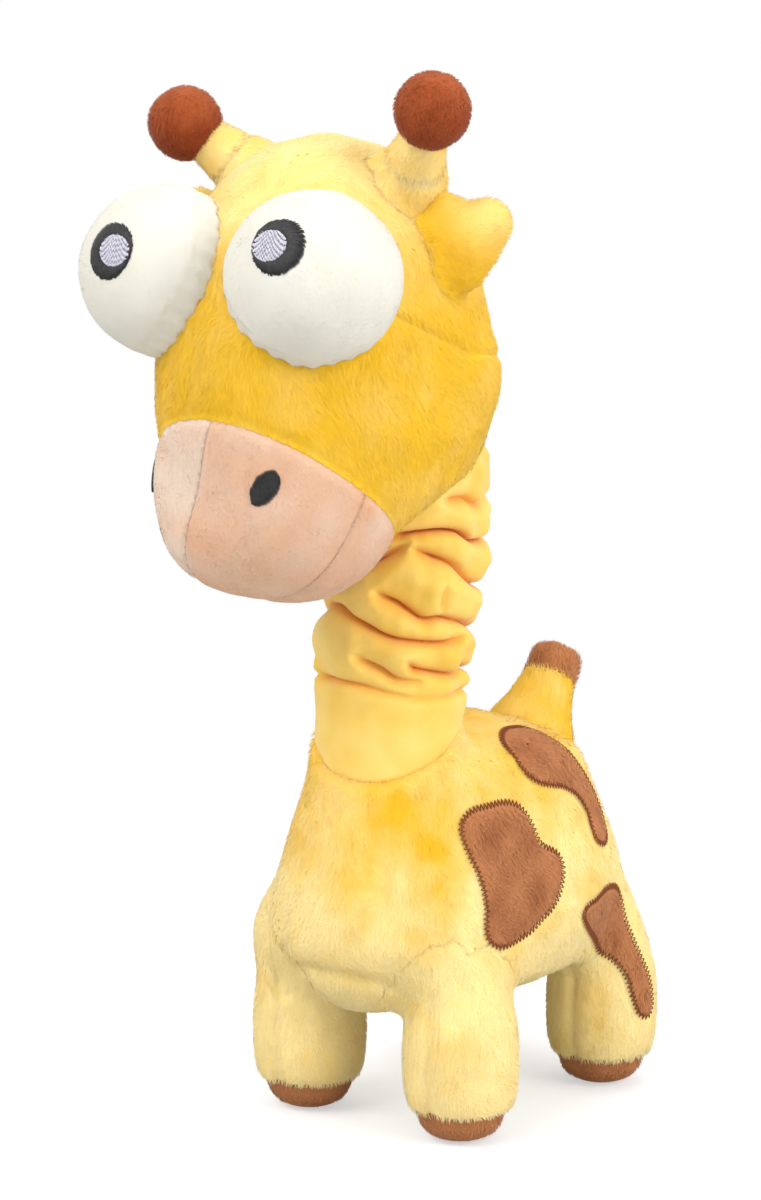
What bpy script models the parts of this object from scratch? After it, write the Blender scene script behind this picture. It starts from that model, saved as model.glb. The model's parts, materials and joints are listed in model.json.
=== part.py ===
"""Plush giraffe with a gathered stretch neck: sewn covers, fibre stuffing and an elastic between two knots.

The toy faces -Y, its left side is +X and it stands on Z = 0. Lengths are in metres, angles in degrees.
"""

from collections import namedtuple
from math import cos, hypot, pi, radians, sin, tan, tau

import bmesh
import bpy
from mathutils import Matrix, Vector

# Clearances that every piece shares
GAP = 0.0003
MERGE_DISTANCE = 0.00005
FLOP_CLEARANCE = 0.0010
CUT_OVERRUN = 0.004
SIDES = {"left": 1, "right": -1}

# Torso: one stuffed bag, wider at the bottom where the legs spread
TORSO_WIDTH = 0.096
TORSO_LENGTH = 0.118
TORSO_HEIGHT = 0.094
BELLY_HEIGHT = 0.0355
COVER_WALL = 0.0026
TORSO_SQUARE_SHARE = 0.28
# height, width, length and forward shift, as shares of the half sizes
TORSO_RING_SHARES = (
    (-1.00, 1.00, 1.00, 0.05),
    (-0.75, 1.04, 1.02, 0.05),
    (-0.49, 1.08, 1.03, 0.05),
    (-0.16, 1.03, 1.00, 0.05),
    (0.25, 0.89, 0.95, 0.07),
    (0.59, 0.81, 0.97, 0.10),
    (1.00, 0.80, 1.00, 0.14),
)

# Legs and feet
LEG_RADIUS = 0.0190
LEG_INSET = 0.0175
LEG_END_INSET = 0.0185
LEG_ANKLE_RADIUS = 0.0160
FOOT_HEIGHT = 0.0120
FOOT_RADIUS = 0.0148
SOLE_RADIUS = 0.0085
LEG_STEPS = 16
# height along the leg from ankle to root, and how far the radius has grown from ankle to full
LEG_PROFILE_SHARES = (
    (0.00, 0.00), (0.10, 0.52), (0.24, 0.90), (0.36, 1.00),
    (0.50, 0.55), (0.62, -0.15), (0.74, -1.10), (0.86, -2.60),
)
# height of the foot from sole to ankle, and how far the radius has grown from sole to full
FOOT_PROFILE_SHARES = ((0.00, 0.00), (0.12, 0.42), (0.38, 0.78), (0.72, 1.00), (1.00, 0.90))

# Stretch neck: gathered sleeve round a bare elastic
NECK_HEADING = 0
NECK_LATITUDE = 60
NECK_LEAN = 5
NECK_LENGTH = 0.0962
SLEEVE_RADIUS = 0.0255
SLEEVE_BOW = 0.0055
HEM_DEPTH = 0.0140
COLLAR_RISE = 0.0130
SLEEVE_BORE_RADIUS = 0.0130
FOLD_DEPTH = 0.0042
FOLD_COUNT = 7
FOLDS_START_SHARE = 0.22
FOLD_TILT_SHARE = 0.55
FOLD_WOBBLE_SHARE = 0.16
SLEEVE_SIDES = 22
SLEEVE_RINGS = 30
BORE_SIDES = 12
# height, and radius as a share of the sleeve's
SLEEVE_PROFILE_SHARES = (
    (0.0, 0.70), (0.04, 0.94), (0.08, 1.04), (0.18, 1.05), (0.27, 1.00), (0.45, 0.97),
    (0.68, 1.00), (0.82, 0.98), (0.90, 0.90), (0.95, 0.76), (1.0, 0.50),
)
NECK_HOLE_RADIUS = 0.0090
ELASTIC_RADIUS = 0.0028
ELASTIC_CHANNEL_CLEARANCE = 0.0010
WASHER_RADIUS = 0.0070
WASHER_THICKNESS = 0.0015
KNOT_RADIUS = 0.0048
ANCHOR_DEPTH = 0.0150
ROUND_STEPS = 16

# Head: yellow hood and peach muzzle round one stuffing
HEAD_WIDTH = 0.100
HEAD_LENGTH = 0.1145
HEAD_HEIGHT = 0.144
HEAD_SQUARE_SHARE = 0.0
HEAD_RING_SHARES = (
    (-1.00, 1.15, 0.74, 0.36),
    (-0.90, 1.10, 0.74, 0.36),
    (-0.78, 1.04, 0.75, 0.36),
    (-0.64, 0.99, 0.78, 0.31),
    (-0.52, 1.03, 0.91, 0.14),
    (-0.42, 1.05, 1.00, 0.03),
    (-0.19, 1.02, 1.02, 0.00),
    (0.00, 1.00, 1.00, 0.00),
    (1.00, 1.00, 1.00, 0.00),
)
# where on the head the neck goes in, and how deep its pivot sits
SOCKET_HEADING = 180
SOCKET_LATITUDE = -28
SOCKET_DEPTH = 0.0080
HEAD_MOUTH_RADIUS = 0.0065
MUZZLE_SEAM_TILT = 38
MUZZLE_SEAM_HEIGHT_SHARE = -0.185
# the muzzle is sewn on with its middle turned towards the toy's right
NOSE_TURN = 13
NOSE_SEAM_TILT = 21
CHIN_SEAM_REACH_SHARE = 0.64

# Face
EYE_WIDTH = 0.055
EYE_HEIGHT = 0.0535
EYE_DEPTH = 0.049
EYE_HEADING = 37.5
EYE_LATITUDE = 25
PATCH_THICKNESS = 0.0008
PUPIL_WIDTH = 0.0160
PUPIL_HEIGHT = 0.0180
PUPIL_HEADING = 7
PUPIL_LATITUDE = 19
HIGHLIGHT_WIDTH = 0.0085
HIGHLIGHT_HEIGHT = 0.0100
HIGHLIGHT_SHIFT = 0.0020
NOSTRIL_WIDTH = 0.0090
NOSTRIL_HEIGHT = 0.0125
NOSTRIL_HEADING = 33.5
NOSTRIL_LATITUDE = -26
NOSTRIL_ROLL = 32

# Horns: a stuffed stem with a ball, each in its own socket
HORN_HEADING = 90
HORN_LATITUDE = 53
HORN_STEM_RADIUS = 0.0095
HORN_NECK_RADIUS = 0.0072
HORN_BALL_RADIUS = 0.0123
# outward, forward and up from the root to the middle of the ball
HORN_REACHES = {"left": (0.0139, 0.0095, 0.0176), "right": (0.0137, 0.0095, 0.0124)}
HORN_RANGE_STEPS = 14

# Ears: a small cupped leaf on a round root
EAR_HEADING = 97
EAR_LATITUDE = 30
EAR_ROOT_RADIUS = 0.0060
EAR_LENGTH = 0.0310
EAR_HEIGHT = 0.0300
EAR_THICKNESS = 0.0170
EAR_CUP_DEPTH = 0.0035
EAR_SINK_SHARE = 0.44
EAR_RISE = 18
EAR_SWING = 18
EAR_SQUARE_SHARE = 0.10
# place along the leaf from root to tip, height and thickness
EAR_RING_SHARES = (
    (-1.0, 0.55, 0.80, 0.0), (0.0, 0.95, 1.00, 0.0), (0.5, 1.06, 1.00, 0.0), (1.0, 1.00, 0.90, 0.0),
)

# Tail: a stub that leans back, with a brown end past a slanted seam
TAIL_HEADING = 180
TAIL_LATITUDE = 43
TAIL_ROOT_RADIUS = 0.0120
TAIL_TIP_RADIUS = 0.0090
TAIL_LENGTH = 0.0225
TAIL_LEAN = 34
TAIL_SEAM_SHARE = 0.64
TAIL_STEPS = 14

# How much of a round root stands above the surface that it is sewn to
ROOT_STANDS_SHARE = 0.5

# Spots: brown cloth sewn flat on the torso
SPOT_THICKNESS = 0.0014
SPOT_REACH_SHARE = 0.50
SPOT_CURVE_STEPS = 2
FLANK_SPOT = {"heading": 66, "latitude": 4, "size": 0.045, "crosses_leg": -1}
BACK_SPOT = {"heading": 111, "latitude": 31, "size": 0.048}
HIP_SPOT = {"heading": 122, "latitude": -34, "facing": 98, "size": 0.046, "crosses_leg": 1}
# outlines across (towards the tail) and up, as shares of the spot's size
FLANK_SPOT_SHARES = (
    (-0.37, 0.44), (-0.09, 0.50), (0.20, 0.48), (0.30, 0.30), (0.32, 0.16), (0.50, 0.09), (0.49, -0.10),
    (0.31, -0.32), (-0.08, -0.49), (-0.31, -0.44), (-0.30, -0.24), (-0.32, 0.04), (-0.39, 0.27),
)
BACK_SPOT_SHARES = (
    (-0.46, 0.33), (-0.33, 0.45), (-0.08, 0.47), (0.13, 0.40), (0.17, 0.23), (0.29, 0.04), (0.40, -0.17),
    (0.41, -0.38), (0.29, -0.52), (0.13, -0.47), (0.17, -0.27), (0.04, -0.09), (-0.19, -0.01), (-0.42, 0.10),
)
HIP_SPOT_SHARES = (
    (-0.50, 0.31), (-0.33, 0.35), (0.10, 0.38), (0.16, 0.12), (0.22, -0.12), (0.32, -0.46),
    (0.28, -0.62), (0.15, -0.57), (0.07, -0.28), (-0.02, -0.12), (-0.20, 0.03), (-0.46, 0.21),
)

# How fine the forms are
NORMAL_STEP_SHARE = 0.01
TORSO_CUTS = 5
HEAD_CUTS = 5
EYE_CUTS = 4
BALL_CUTS = 3
EAR_CUTS = 3

# Colours, roughness and metallic value of the cloths and of the hidden hardware
FINISHES = {
    "yellow_plush": ((0.93, 0.62, 0.10), 0.95, 0.0),
    "neck_cloth": ((0.92, 0.60, 0.13), 0.90, 0.0),
    "brown_plush": ((0.42, 0.15, 0.05), 0.95, 0.0),
    "spot_plush": ((0.50, 0.20, 0.09), 0.95, 0.0),
    "eye_cloth": ((0.88, 0.86, 0.76), 0.90, 0.0),
    "peach_cloth": ((0.84, 0.56, 0.38), 0.90, 0.0),
    "black_thread": ((0.02, 0.02, 0.02), 0.70, 0.0),
    "pale_thread": ((0.74, 0.73, 0.80), 0.65, 0.0),
    "stuffing": ((0.90, 0.90, 0.88), 1.00, 0.0),
    "elastic": ((0.85, 0.85, 0.82), 0.80, 0.0),
    "washer": ((0.80, 0.80, 0.80), 0.45, 0.0),
}

Form = namedtuple("Form", "centre half_sizes ring_shares square_share")


def smooth_shares(rows, place):
    """The values of a table of shares at a place between its rows, on a Catmull-Rom curve."""
    if place <= rows[0][0]:
        return rows[0][1:]
    if place >= rows[-1][0]:
        return rows[-1][1:]
    k = max(i for i in range(len(rows) - 1) if rows[i][0] <= place)
    t = (place - rows[k][0]) / (rows[k + 1][0] - rows[k][0])
    before, after = rows[max(k - 1, 0)], rows[min(k + 2, len(rows) - 1)]
    values = []
    for a, b, c, d in zip(before[1:], rows[k][1:], rows[k + 1][1:], after[1:]):
        square, cube = 2 * a - 5 * b + 4 * c - d, 3 * b - a - 3 * c + d
        values.append(0.5 * (2 * b + (c - a) * t + square * t**2 + cube * t**3))
    return values


def bearing(heading, latitude):
    """A unit vector: heading 0 is the toy's front and 90 its left, latitude is above the level."""
    h, v = radians(heading), radians(latitude)
    return Vector((sin(h) * cos(v), -cos(h) * cos(v), sin(v)))


def form_point(form, direction, grow=0.0):
    """Where a stuffed form's surface lies in a direction, with the form grown by a length."""
    boxy = direction / max(abs(c) for c in direction)
    at = direction.lerp(boxy, form.square_share)
    width, length, forward = smooth_shares(form.ring_shares, direction.z)
    half_width, half_length, half_height = form.half_sizes
    return form.centre + Vector((
        at.x * (half_width * width + grow),
        at.y * (half_length * length + grow) - forward * half_length,
        at.z * (half_height + grow),
    ))


def form_normal(form, direction):
    """The outward normal of a form, from two short steps along its surface."""
    side = direction.cross(Vector((0, 0, 1))).normalized()
    steps = []
    for way in (side, side.cross(direction)):
        ahead, behind = (direction + way * NORMAL_STEP_SHARE, direction - way * NORMAL_STEP_SHARE)
        steps.append(form_point(form, ahead.normalized()) - form_point(form, behind.normalized()))
    normal = steps[0].cross(steps[1]).normalized()
    return normal if normal.dot(direction) > 0 else -normal


def frame_at(origin, axis, roll=0):
    """A matrix whose Z is the axis and whose Y points up, or back where the axis is nearly vertical."""
    z = axis.normalized()
    upward = Vector((0, 0, 1)) if abs(z.z) < 0.98 else Vector((0, 1, 0))
    x = upward.cross(z).normalized()
    y = z.cross(x)
    turn = Matrix((x, y, z)).transposed().to_4x4()
    return Matrix.Translation(origin) @ turn @ Matrix.Rotation(radians(roll), 4, "Z")


def start_scene():
    for old in list(bpy.data.objects):
        bpy.data.objects.remove(old)
    collection = bpy.data.collections.new("plush_giraffe")
    bpy.context.scene.collection.children.link(collection)
    return collection


def finish_materials():
    made = {}
    for name, (colour, roughness, metallic) in FINISHES.items():
        material = bpy.data.materials.new(name)
        material.use_nodes = True
        shader = material.node_tree.nodes["Principled BSDF"]
        shader.inputs["Base Color"].default_value = (*colour, 1)
        shader.inputs["Roughness"].default_value = roughness
        shader.inputs["Metallic"].default_value = metallic
        made[name] = material
    return made


COLLECTION = start_scene()
MATERIALS = finish_materials()


def add_object(name, mesh):
    piece = bpy.data.objects.new(name, mesh)
    COLLECTION.objects.link(piece)
    return piece


def mesh_piece(name, bm):
    bmesh.ops.recalc_face_normals(bm, faces=bm.faces)
    mesh = bpy.data.meshes.new(name)
    bm.to_mesh(mesh)
    bm.free()
    return add_object(name, mesh)


def face_outward(mesh):
    """Merges a mesh's doubled corners and turns all its faces outward."""
    bm = bmesh.new()
    bm.from_mesh(mesh)
    bmesh.ops.remove_doubles(bm, verts=bm.verts, dist=MERGE_DISTANCE)
    bmesh.ops.recalc_face_normals(bm, faces=bm.faces)
    bm.to_mesh(mesh)
    bm.free()


def bake(piece):
    """Replaces an object by the mesh that its modifiers make, in world space."""
    bpy.context.view_layer.update()
    seen = piece.evaluated_get(bpy.context.evaluated_depsgraph_get())
    mesh = bpy.data.meshes.new_from_object(seen)
    mesh.transform(piece.matrix_world)
    name = piece.name
    bpy.data.objects.remove(piece)
    baked = add_object(name, mesh)
    return baked


def boolean(piece, cutters, operation="DIFFERENCE"):
    """Cuts a piece with each cutter in turn. The cutters are used up."""
    for cutter in cutters:
        modifier = piece.modifiers.new("cut", "BOOLEAN")
        modifier.operation = operation
        modifier.object = cutter
        piece = bake(piece)
        bpy.data.objects.remove(cutter)
    return piece


def form_piece(name, form, cuts, grow=0.0):
    """A stuffed form: a cube with an even grid on each face, blown up to the form's surface.

    Every copy of a form has the same triangles, so that a grown copy clears the first one all over.
    """
    bm = bmesh.new()
    bmesh.ops.create_cube(bm, size=2)
    bmesh.ops.subdivide_edges(bm, edges=bm.edges, cuts=cuts, use_grid_fill=True)
    for vert in bm.verts:
        even = Vector([tan(c * pi / 4) for c in vert.co])
        vert.co = form_point(form, even.normalized(), grow)
    bmesh.ops.triangulate(bm, faces=bm.faces, quad_method="FIXED")
    return mesh_piece(name, bm)


def turned_piece(name, profile, steps, place):
    """A profile of (radius, height) points, top to bottom, turned about Z and put in place."""
    mesh = bpy.data.meshes.new(name)
    edges = [(i, i + 1) for i in range(len(profile) - 1)]
    mesh.from_pydata([(radius, 0, height) for radius, height in profile], edges, [])
    piece = add_object(name, mesh)
    screw = piece.modifiers.new("turn", "SCREW")
    screw.steps = screw.render_steps = steps
    screw.use_merge_vertices = True
    screw.merge_threshold = MERGE_DISTANCE
    screw.use_smooth_shade = False
    piece = bake(piece)
    piece.data.transform(place)
    face_outward(piece.data)
    return piece


def rod(name, radius, low, high, place, steps=ROUND_STEPS):
    """A plain cylinder between two heights of a place's Z axis."""
    profile = [(0, high), (radius, high), (radius, low), (0, low)]
    return turned_piece(name, profile, steps, place)


def ball(name, centre, radius, cuts=BALL_CUTS):
    plain = ((-1.0, 1.0, 1.0, 0.0), (1.0, 1.0, 1.0, 0.0))
    return form_piece(name, Form(centre, (radius,) * 3, plain, 0.0), cuts)


def block(name, low, high, place=None):
    """A box between two corners, then moved by a matrix."""
    bm = bmesh.new()
    bmesh.ops.create_cube(bm, size=1)
    for vert in bm.verts:
        vert.co = Vector([(a + b) / 2 + (b - a) * c for a, b, c in zip(low, high, vert.co)])
    if place is not None:
        bmesh.ops.transform(bm, matrix=place, verts=bm.verts)
    return mesh_piece(name, bm)


def outline_prism(name, points, depth, height, place):
    """A closed smooth outline, filled, from depth below a place's XY plane to height above it."""
    curve = bpy.data.curves.new(name, "CURVE")
    curve.dimensions = "2D"
    curve.fill_mode = "BOTH"
    curve.extrude = (depth + height) / 2
    curve.resolution_u = curve.render_resolution_u = SPOT_CURVE_STEPS
    spline = curve.splines.new("BEZIER")
    spline.bezier_points.add(len(points) - 1)
    spline.use_cyclic_u = True
    for knot, (x, y) in zip(spline.bezier_points, points):
        knot.co = (x, y, 0)
        knot.handle_left_type = knot.handle_right_type = "AUTO"
    piece = bake(add_object(name, curve))
    piece.data.transform(place @ Matrix.Translation((0, 0, (height - depth) / 2)))
    face_outward(piece.data)
    return piece


def oval(width, height, points=8, shift=(0, 0)):
    """Points round an ellipse."""
    turns = [tau * i / points for i in range(points)]
    return [(shift[0] + width / 2 * cos(a), shift[1] + height / 2 * sin(a)) for a in turns]


def patch(name, skins, grown_skins, outline, reach, place):
    """Cloth sewn flat on a surface: what an outline keeps between the surface and its grown copy."""
    piece = outline_prism(name, outline, reach / 2, reach, place)
    piece = boolean(piece, [grown_skins], "INTERSECT")
    return boolean(piece, [skins])


def joined(name, pieces):
    """One solid from several that overlap."""
    first, *others = pieces
    piece = boolean(first, others, "UNION")
    piece.name = name
    return piece


TORSO = Form(
    Vector((0, 0, BELLY_HEIGHT + TORSO_HEIGHT / 2)),
    (TORSO_WIDTH / 2, TORSO_LENGTH / 2, TORSO_HEIGHT / 2),
    TORSO_RING_SHARES,
    TORSO_SQUARE_SHARE,
)
NECK_BASE = form_point(TORSO, bearing(NECK_HEADING, NECK_LATITUDE))
NECK_AXIS = Vector((0, sin(radians(NECK_LEAN)), cos(radians(NECK_LEAN))))
NECK_PIVOT = NECK_BASE + NECK_AXIS * NECK_LENGTH
NECK_PLACE = frame_at(NECK_BASE, NECK_AXIS)


def head_form():
    """The head, hung so that its neck socket meets the top of the neck."""
    half_sizes = (HEAD_WIDTH / 2, HEAD_LENGTH / 2, HEAD_HEIGHT / 2)
    loose = Form(Vector((0, 0, 0)), half_sizes, HEAD_RING_SHARES, HEAD_SQUARE_SHARE)
    socket = bearing(SOCKET_HEADING, SOCKET_LATITUDE)
    pivot = form_point(loose, socket) - form_normal(loose, socket) * SOCKET_DEPTH
    return loose._replace(centre=NECK_PIVOT - pivot)


HEAD = head_form()


def shrunk(form, wall):
    """The same form inside a wall."""
    return form._replace(half_sizes=tuple(half - wall for half in form.half_sizes))


# The upper washer hangs below the knot, and the head turns about the knot in a round pocket
WASHER_DROP = KNOT_RADIUS + WASHER_THICKNESS / 2 + GAP
POCKET_RADIUS = hypot(WASHER_RADIUS, WASHER_DROP + WASHER_THICKNESS / 2) + FLOP_CLEARANCE


def make_torso():
    cover = form_piece("torso_cover", TORSO, TORSO_CUTS)
    inside = form_piece("inside", shrunk(TORSO, COVER_WALL), TORSO_CUTS)
    neck_hole = rod("hole", NECK_HOLE_RADIUS, -ANCHOR_DEPTH, ANCHOR_DEPTH, NECK_PLACE)
    boolean(cover, [joined("inside", [inside, neck_hole])])
    stuffing = form_piece("torso_stuffing", shrunk(TORSO, COVER_WALL + GAP), TORSO_CUTS)
    channel_radius = ELASTIC_RADIUS + ELASTIC_CHANNEL_CLEARANCE
    channel = rod("channel", channel_radius, -ANCHOR_DEPTH - WASHER_THICKNESS, CUT_OVERRUN, NECK_PLACE)
    chamber_low = -ANCHOR_DEPTH - WASHER_THICKNESS / 2 - 2 * KNOT_RADIUS - 3 * GAP
    chamber_high = -ANCHOR_DEPTH + WASHER_THICKNESS / 2 + GAP
    chamber = rod("chamber", WASHER_RADIUS + GAP, chamber_low, chamber_high, NECK_PLACE)
    boolean(stuffing, [joined("channel", [channel, chamber])])


def leg_profile(ankle_height, root_height, grow=0.0):
    rise, growth = root_height - ankle_height, LEG_RADIUS - LEG_ANKLE_RADIUS
    side = [(LEG_ANKLE_RADIUS + growth * r + grow, ankle_height + rise * h) for h, r in LEG_PROFILE_SHARES]
    return [(0, root_height)] + side[::-1] + [(0, ankle_height)]


def leg_place(side, end):
    x = SIDES[side] * (TORSO_WIDTH / 2 - LEG_INSET)
    y = end * (TORSO_LENGTH / 2 - LEG_END_INSET)
    return Matrix.Translation((x, y, 0))


def leg_piece(name, side, end, grow=0.0):
    profile = leg_profile(FOOT_HEIGHT + GAP - grow, TORSO.centre.z + grow, grow)
    return turned_piece(name, profile, LEG_STEPS, leg_place(side, end))


def make_legs():
    for end_name, end in (("front", -1), ("rear", 1)):
        for side in SIDES:
            leg = leg_piece(f"leg_{end_name}_{side}", side, end)
            boolean(leg, [form_piece("torso", TORSO, TORSO_CUTS, GAP)])
            growth = FOOT_RADIUS - SOLE_RADIUS
            rim = [(SOLE_RADIUS + growth * r, FOOT_HEIGHT * h) for h, r in FOOT_PROFILE_SHARES]
            profile = [(0, FOOT_HEIGHT)] + rim[::-1] + [(0, 0)]
            turned_piece(f"foot_{end_name}_{side}", profile, LEG_STEPS, leg_place(side, end))


def make_spots():
    spots = (
        ("flank", FLANK_SPOT, FLANK_SPOT_SHARES),
        ("back", BACK_SPOT, BACK_SPOT_SHARES),
        ("hip", HIP_SPOT, HIP_SPOT_SHARES),
    )
    for spot_name, spot, shares in spots:
        for side, sign in SIDES.items():
            toward = bearing(sign * spot["heading"], spot["latitude"])
            facing = bearing(sign * spot["facing"], 0) if "facing" in spot else form_normal(TORSO, toward)
            place = frame_at(form_point(TORSO, toward), facing)
            outline = [(sign * across * spot["size"], up * spot["size"]) for across, up in shares]
            skins = []
            for grow in (GAP, GAP + SPOT_THICKNESS):
                skin = form_piece("skin", TORSO, TORSO_CUTS, grow)
                if "crosses_leg" in spot:
                    skin = joined("skin", [skin, leg_piece("leg", side, spot["crosses_leg"], grow)])
                skins.append(skin)
            patch(f"spot_{spot_name}_{side}", *skins, outline, spot["size"] * SPOT_REACH_SHARE, place)


def fold_height(share, turn):
    """How far out the gathered sleeve stands, from 0 in a crease to 1 on a fold."""
    tilt = FOLD_TILT_SHARE * cos(turn - radians(35))
    wobble = FOLD_WOBBLE_SHARE * (sin(2 * turn + 5 * share) + sin(3 * turn - 9 * share))
    return abs(sin(pi * (share * FOLD_COUNT + tilt + wobble))) ** 0.6


def make_sleeve():
    """The sleeve is a tube with its folds, sunk at both ends and then cut by the torso and the head.

    Behind the head its top closes in to a collar, which covers the mouth that the elastic goes into.
    """
    low, high = -HEM_DEPTH, NECK_LENGTH + COLLAR_RISE
    bm = bmesh.new()
    bmesh.ops.create_cone(bm, cap_ends=True, segments=SLEEVE_SIDES, radius1=1, radius2=1, depth=1)
    upright = [edge for edge in bm.edges if abs(edge.verts[0].co.z - edge.verts[1].co.z) > 0.5]
    bmesh.ops.subdivide_edges(bm, edges=upright, cuts=SLEEVE_RINGS)
    for vert in bm.verts:
        share = vert.co.z + 0.5
        turn = Vector((1, 0)).angle_signed(Vector((vert.co.x, -vert.co.y)))
        radius = SLEEVE_RADIUS * smooth_shares(SLEEVE_PROFILE_SHARES, share)[0]
        gathered = min(1, max(0, (share - FOLDS_START_SHARE) / FOLDS_START_SHARE))
        radius -= FOLD_DEPTH * gathered * (1 - fold_height(share, turn))
        bow = SLEEVE_BOW * share
        vert.co = (radius * cos(turn), radius * sin(turn) + bow, low + share * (high - low))
    bmesh.ops.transform(bm, matrix=NECK_PLACE, verts=bm.verts)
    sleeve = mesh_piece("neck_sleeve", bm)
    bore = rod("bore", SLEEVE_BORE_RADIUS, low - CUT_OVERRUN, NECK_LENGTH, NECK_PLACE, BORE_SIDES)
    torso = form_piece("torso", TORSO, TORSO_CUTS, GAP)
    head = form_piece("head", HEAD, HEAD_CUTS, GAP)
    boolean(sleeve, [bore, torso, head])


def washer(name, place, height):
    low, high = height - WASHER_THICKNESS / 2, height + WASHER_THICKNESS / 2
    hole = ELASTIC_RADIUS + GAP
    disc = rod(name, WASHER_RADIUS, low, high, place)
    return boolean(disc, [rod("hole", hole, low - CUT_OVERRUN, high + CUT_OVERRUN, place)])


def make_elastic():
    washer("elastic_washer_lower", NECK_PLACE, -ANCHOR_DEPTH)
    washer("elastic_washer_upper", NECK_PLACE, NECK_LENGTH - WASHER_DROP)
    lower_knot = -ANCHOR_DEPTH - WASHER_THICKNESS / 2 - GAP - KNOT_RADIUS
    cord_low, cord_high = lower_knot + KNOT_RADIUS, NECK_LENGTH - KNOT_RADIUS
    rod("neck_elastic", ELASTIC_RADIUS, cord_low, cord_high, NECK_PLACE)
    for name, height, end in (("lower", lower_knot, 1), ("upper", NECK_LENGTH, -1)):
        knot = ball(f"elastic_knot_{name}", NECK_PLACE @ Vector((0, 0, height)), KNOT_RADIUS)
        face = height + end * (KNOT_RADIUS - GAP)
        trim = sorted((face, face + end * CUT_OVERRUN))
        boolean(knot, [rod("trim", KNOT_RADIUS, *trim, NECK_PLACE)])


def root_pivot(form, heading, latitude, radius):
    """Where a round root that is sewn to a form turns, partly sunk in it."""
    toward = bearing(heading, latitude)
    return form_point(form, toward) + form_normal(form, toward) * radius * ROOT_STANDS_SHARE


def horn_pivot(side):
    return root_pivot(HEAD, SIDES[side] * HORN_HEADING, HORN_LATITUDE, HORN_STEM_RADIUS)


def ear_pivot(side):
    return root_pivot(HEAD, SIDES[side] * EAR_HEADING, EAR_LATITUDE, EAR_ROOT_RADIUS)


TAIL_PIVOT = root_pivot(TORSO, TAIL_HEADING, TAIL_LATITUDE, TAIL_ROOT_RADIUS)


def root_sockets(grow):
    """Balls that clear the round roots of the horns and ears, for cutting the head."""
    sockets = []
    for side in SIDES:
        sockets.append(ball("socket", horn_pivot(side), HORN_STEM_RADIUS + grow, BALL_CUTS))
        sockets.append(ball("socket", ear_pivot(side), EAR_ROOT_RADIUS + grow, BALL_CUTS))
    return sockets


def seam_block(front):
    """A large block on one side of the seam between hood and muzzle, half a gap clear of it."""
    reach = HEAD_HEIGHT + HEAD_LENGTH
    seam = HEAD.centre + Vector((0, -HEAD_LENGTH / 2, HEAD_HEIGHT / 2 * MUZZLE_SEAM_HEIGHT_SHARE))
    place = Matrix.Translation(seam) @ Matrix.Rotation(-radians(MUZZLE_SEAM_TILT), 4, "X")
    low, high = (-reach, -GAP / 2) if front else (GAP / 2, reach)
    return block("seam", (-reach, -reach, low), (reach, reach, high), place)


def head_shell(name, front):
    """The part of the head's skin on one side of the muzzle seam."""
    inside = form_piece("inside", shrunk(HEAD, COVER_WALL), HEAD_CUTS)
    shell = boolean(form_piece(name, HEAD, HEAD_CUTS), [inside])
    return boolean(shell, [seam_block(front)], "INTERSECT")


def neck_pocket():
    """The round space in the head for the knot and washer, with the mouth that the elastic leaves by."""
    room = ball("pocket", NECK_PIVOT, POCKET_RADIUS, EYE_CUTS)
    mouth = rod("mouth", HEAD_MOUTH_RADIUS, -2 * POCKET_RADIUS, 0, frame_at(NECK_PIVOT, NECK_AXIS))
    return joined("pocket", [room, mouth])


def make_head():
    cover = head_shell("head_cover", front=False)
    boolean(cover, root_sockets(FLOP_CLEARANCE) + [neck_pocket()])
    stuffing = form_piece("head_stuffing", shrunk(HEAD, COVER_WALL + GAP), HEAD_CUTS)
    boolean(stuffing, root_sockets(FLOP_CLEARANCE + GAP) + [neck_pocket()])


def make_muzzle():
    """The muzzle's skin is three panels: two cheeks, which a slanted seam parts on the nose, and a chin."""
    reach = HEAD_HEIGHT + HEAD_LENGTH
    forward = HEAD_LENGTH / 2 * CHIN_SEAM_REACH_SHARE
    corner = HEAD.centre + Vector((0, -forward, HEAD_HEIGHT / 2 * MUZZLE_SEAM_HEIGHT_SHARE))
    place = Matrix.Translation(corner) @ Matrix.Rotation(radians(NOSE_SEAM_TILT), 4, "Y")
    panels = {
        "muzzle_cheek_left": ((GAP / 2, -reach, -reach), (reach, -GAP / 2, reach)),
        "muzzle_cheek_right": ((-reach, -reach, -reach), (-GAP / 2, -GAP / 2, reach)),
        "muzzle_chin": ((-reach, GAP / 2, -reach), (reach, reach, reach)),
    }
    for name, (low, high) in panels.items():
        boolean(head_shell(name, front=True), [block("panel", low, high, place)], "INTERSECT")


def eye_form(side):
    toward = bearing(SIDES[side] * EYE_HEADING, EYE_LATITUDE)
    centre = form_point(HEAD, toward)
    centre.x = SIDES[side] * max(abs(centre.x), EYE_WIDTH / 2 + GAP)
    round_rings = ((-1.0, 1.0, 1.0, 0.0), (1.0, 1.0, 1.0, 0.0))
    return Form(centre, (EYE_WIDTH / 2, EYE_DEPTH / 2, EYE_HEIGHT / 2), round_rings, 0.0)


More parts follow.
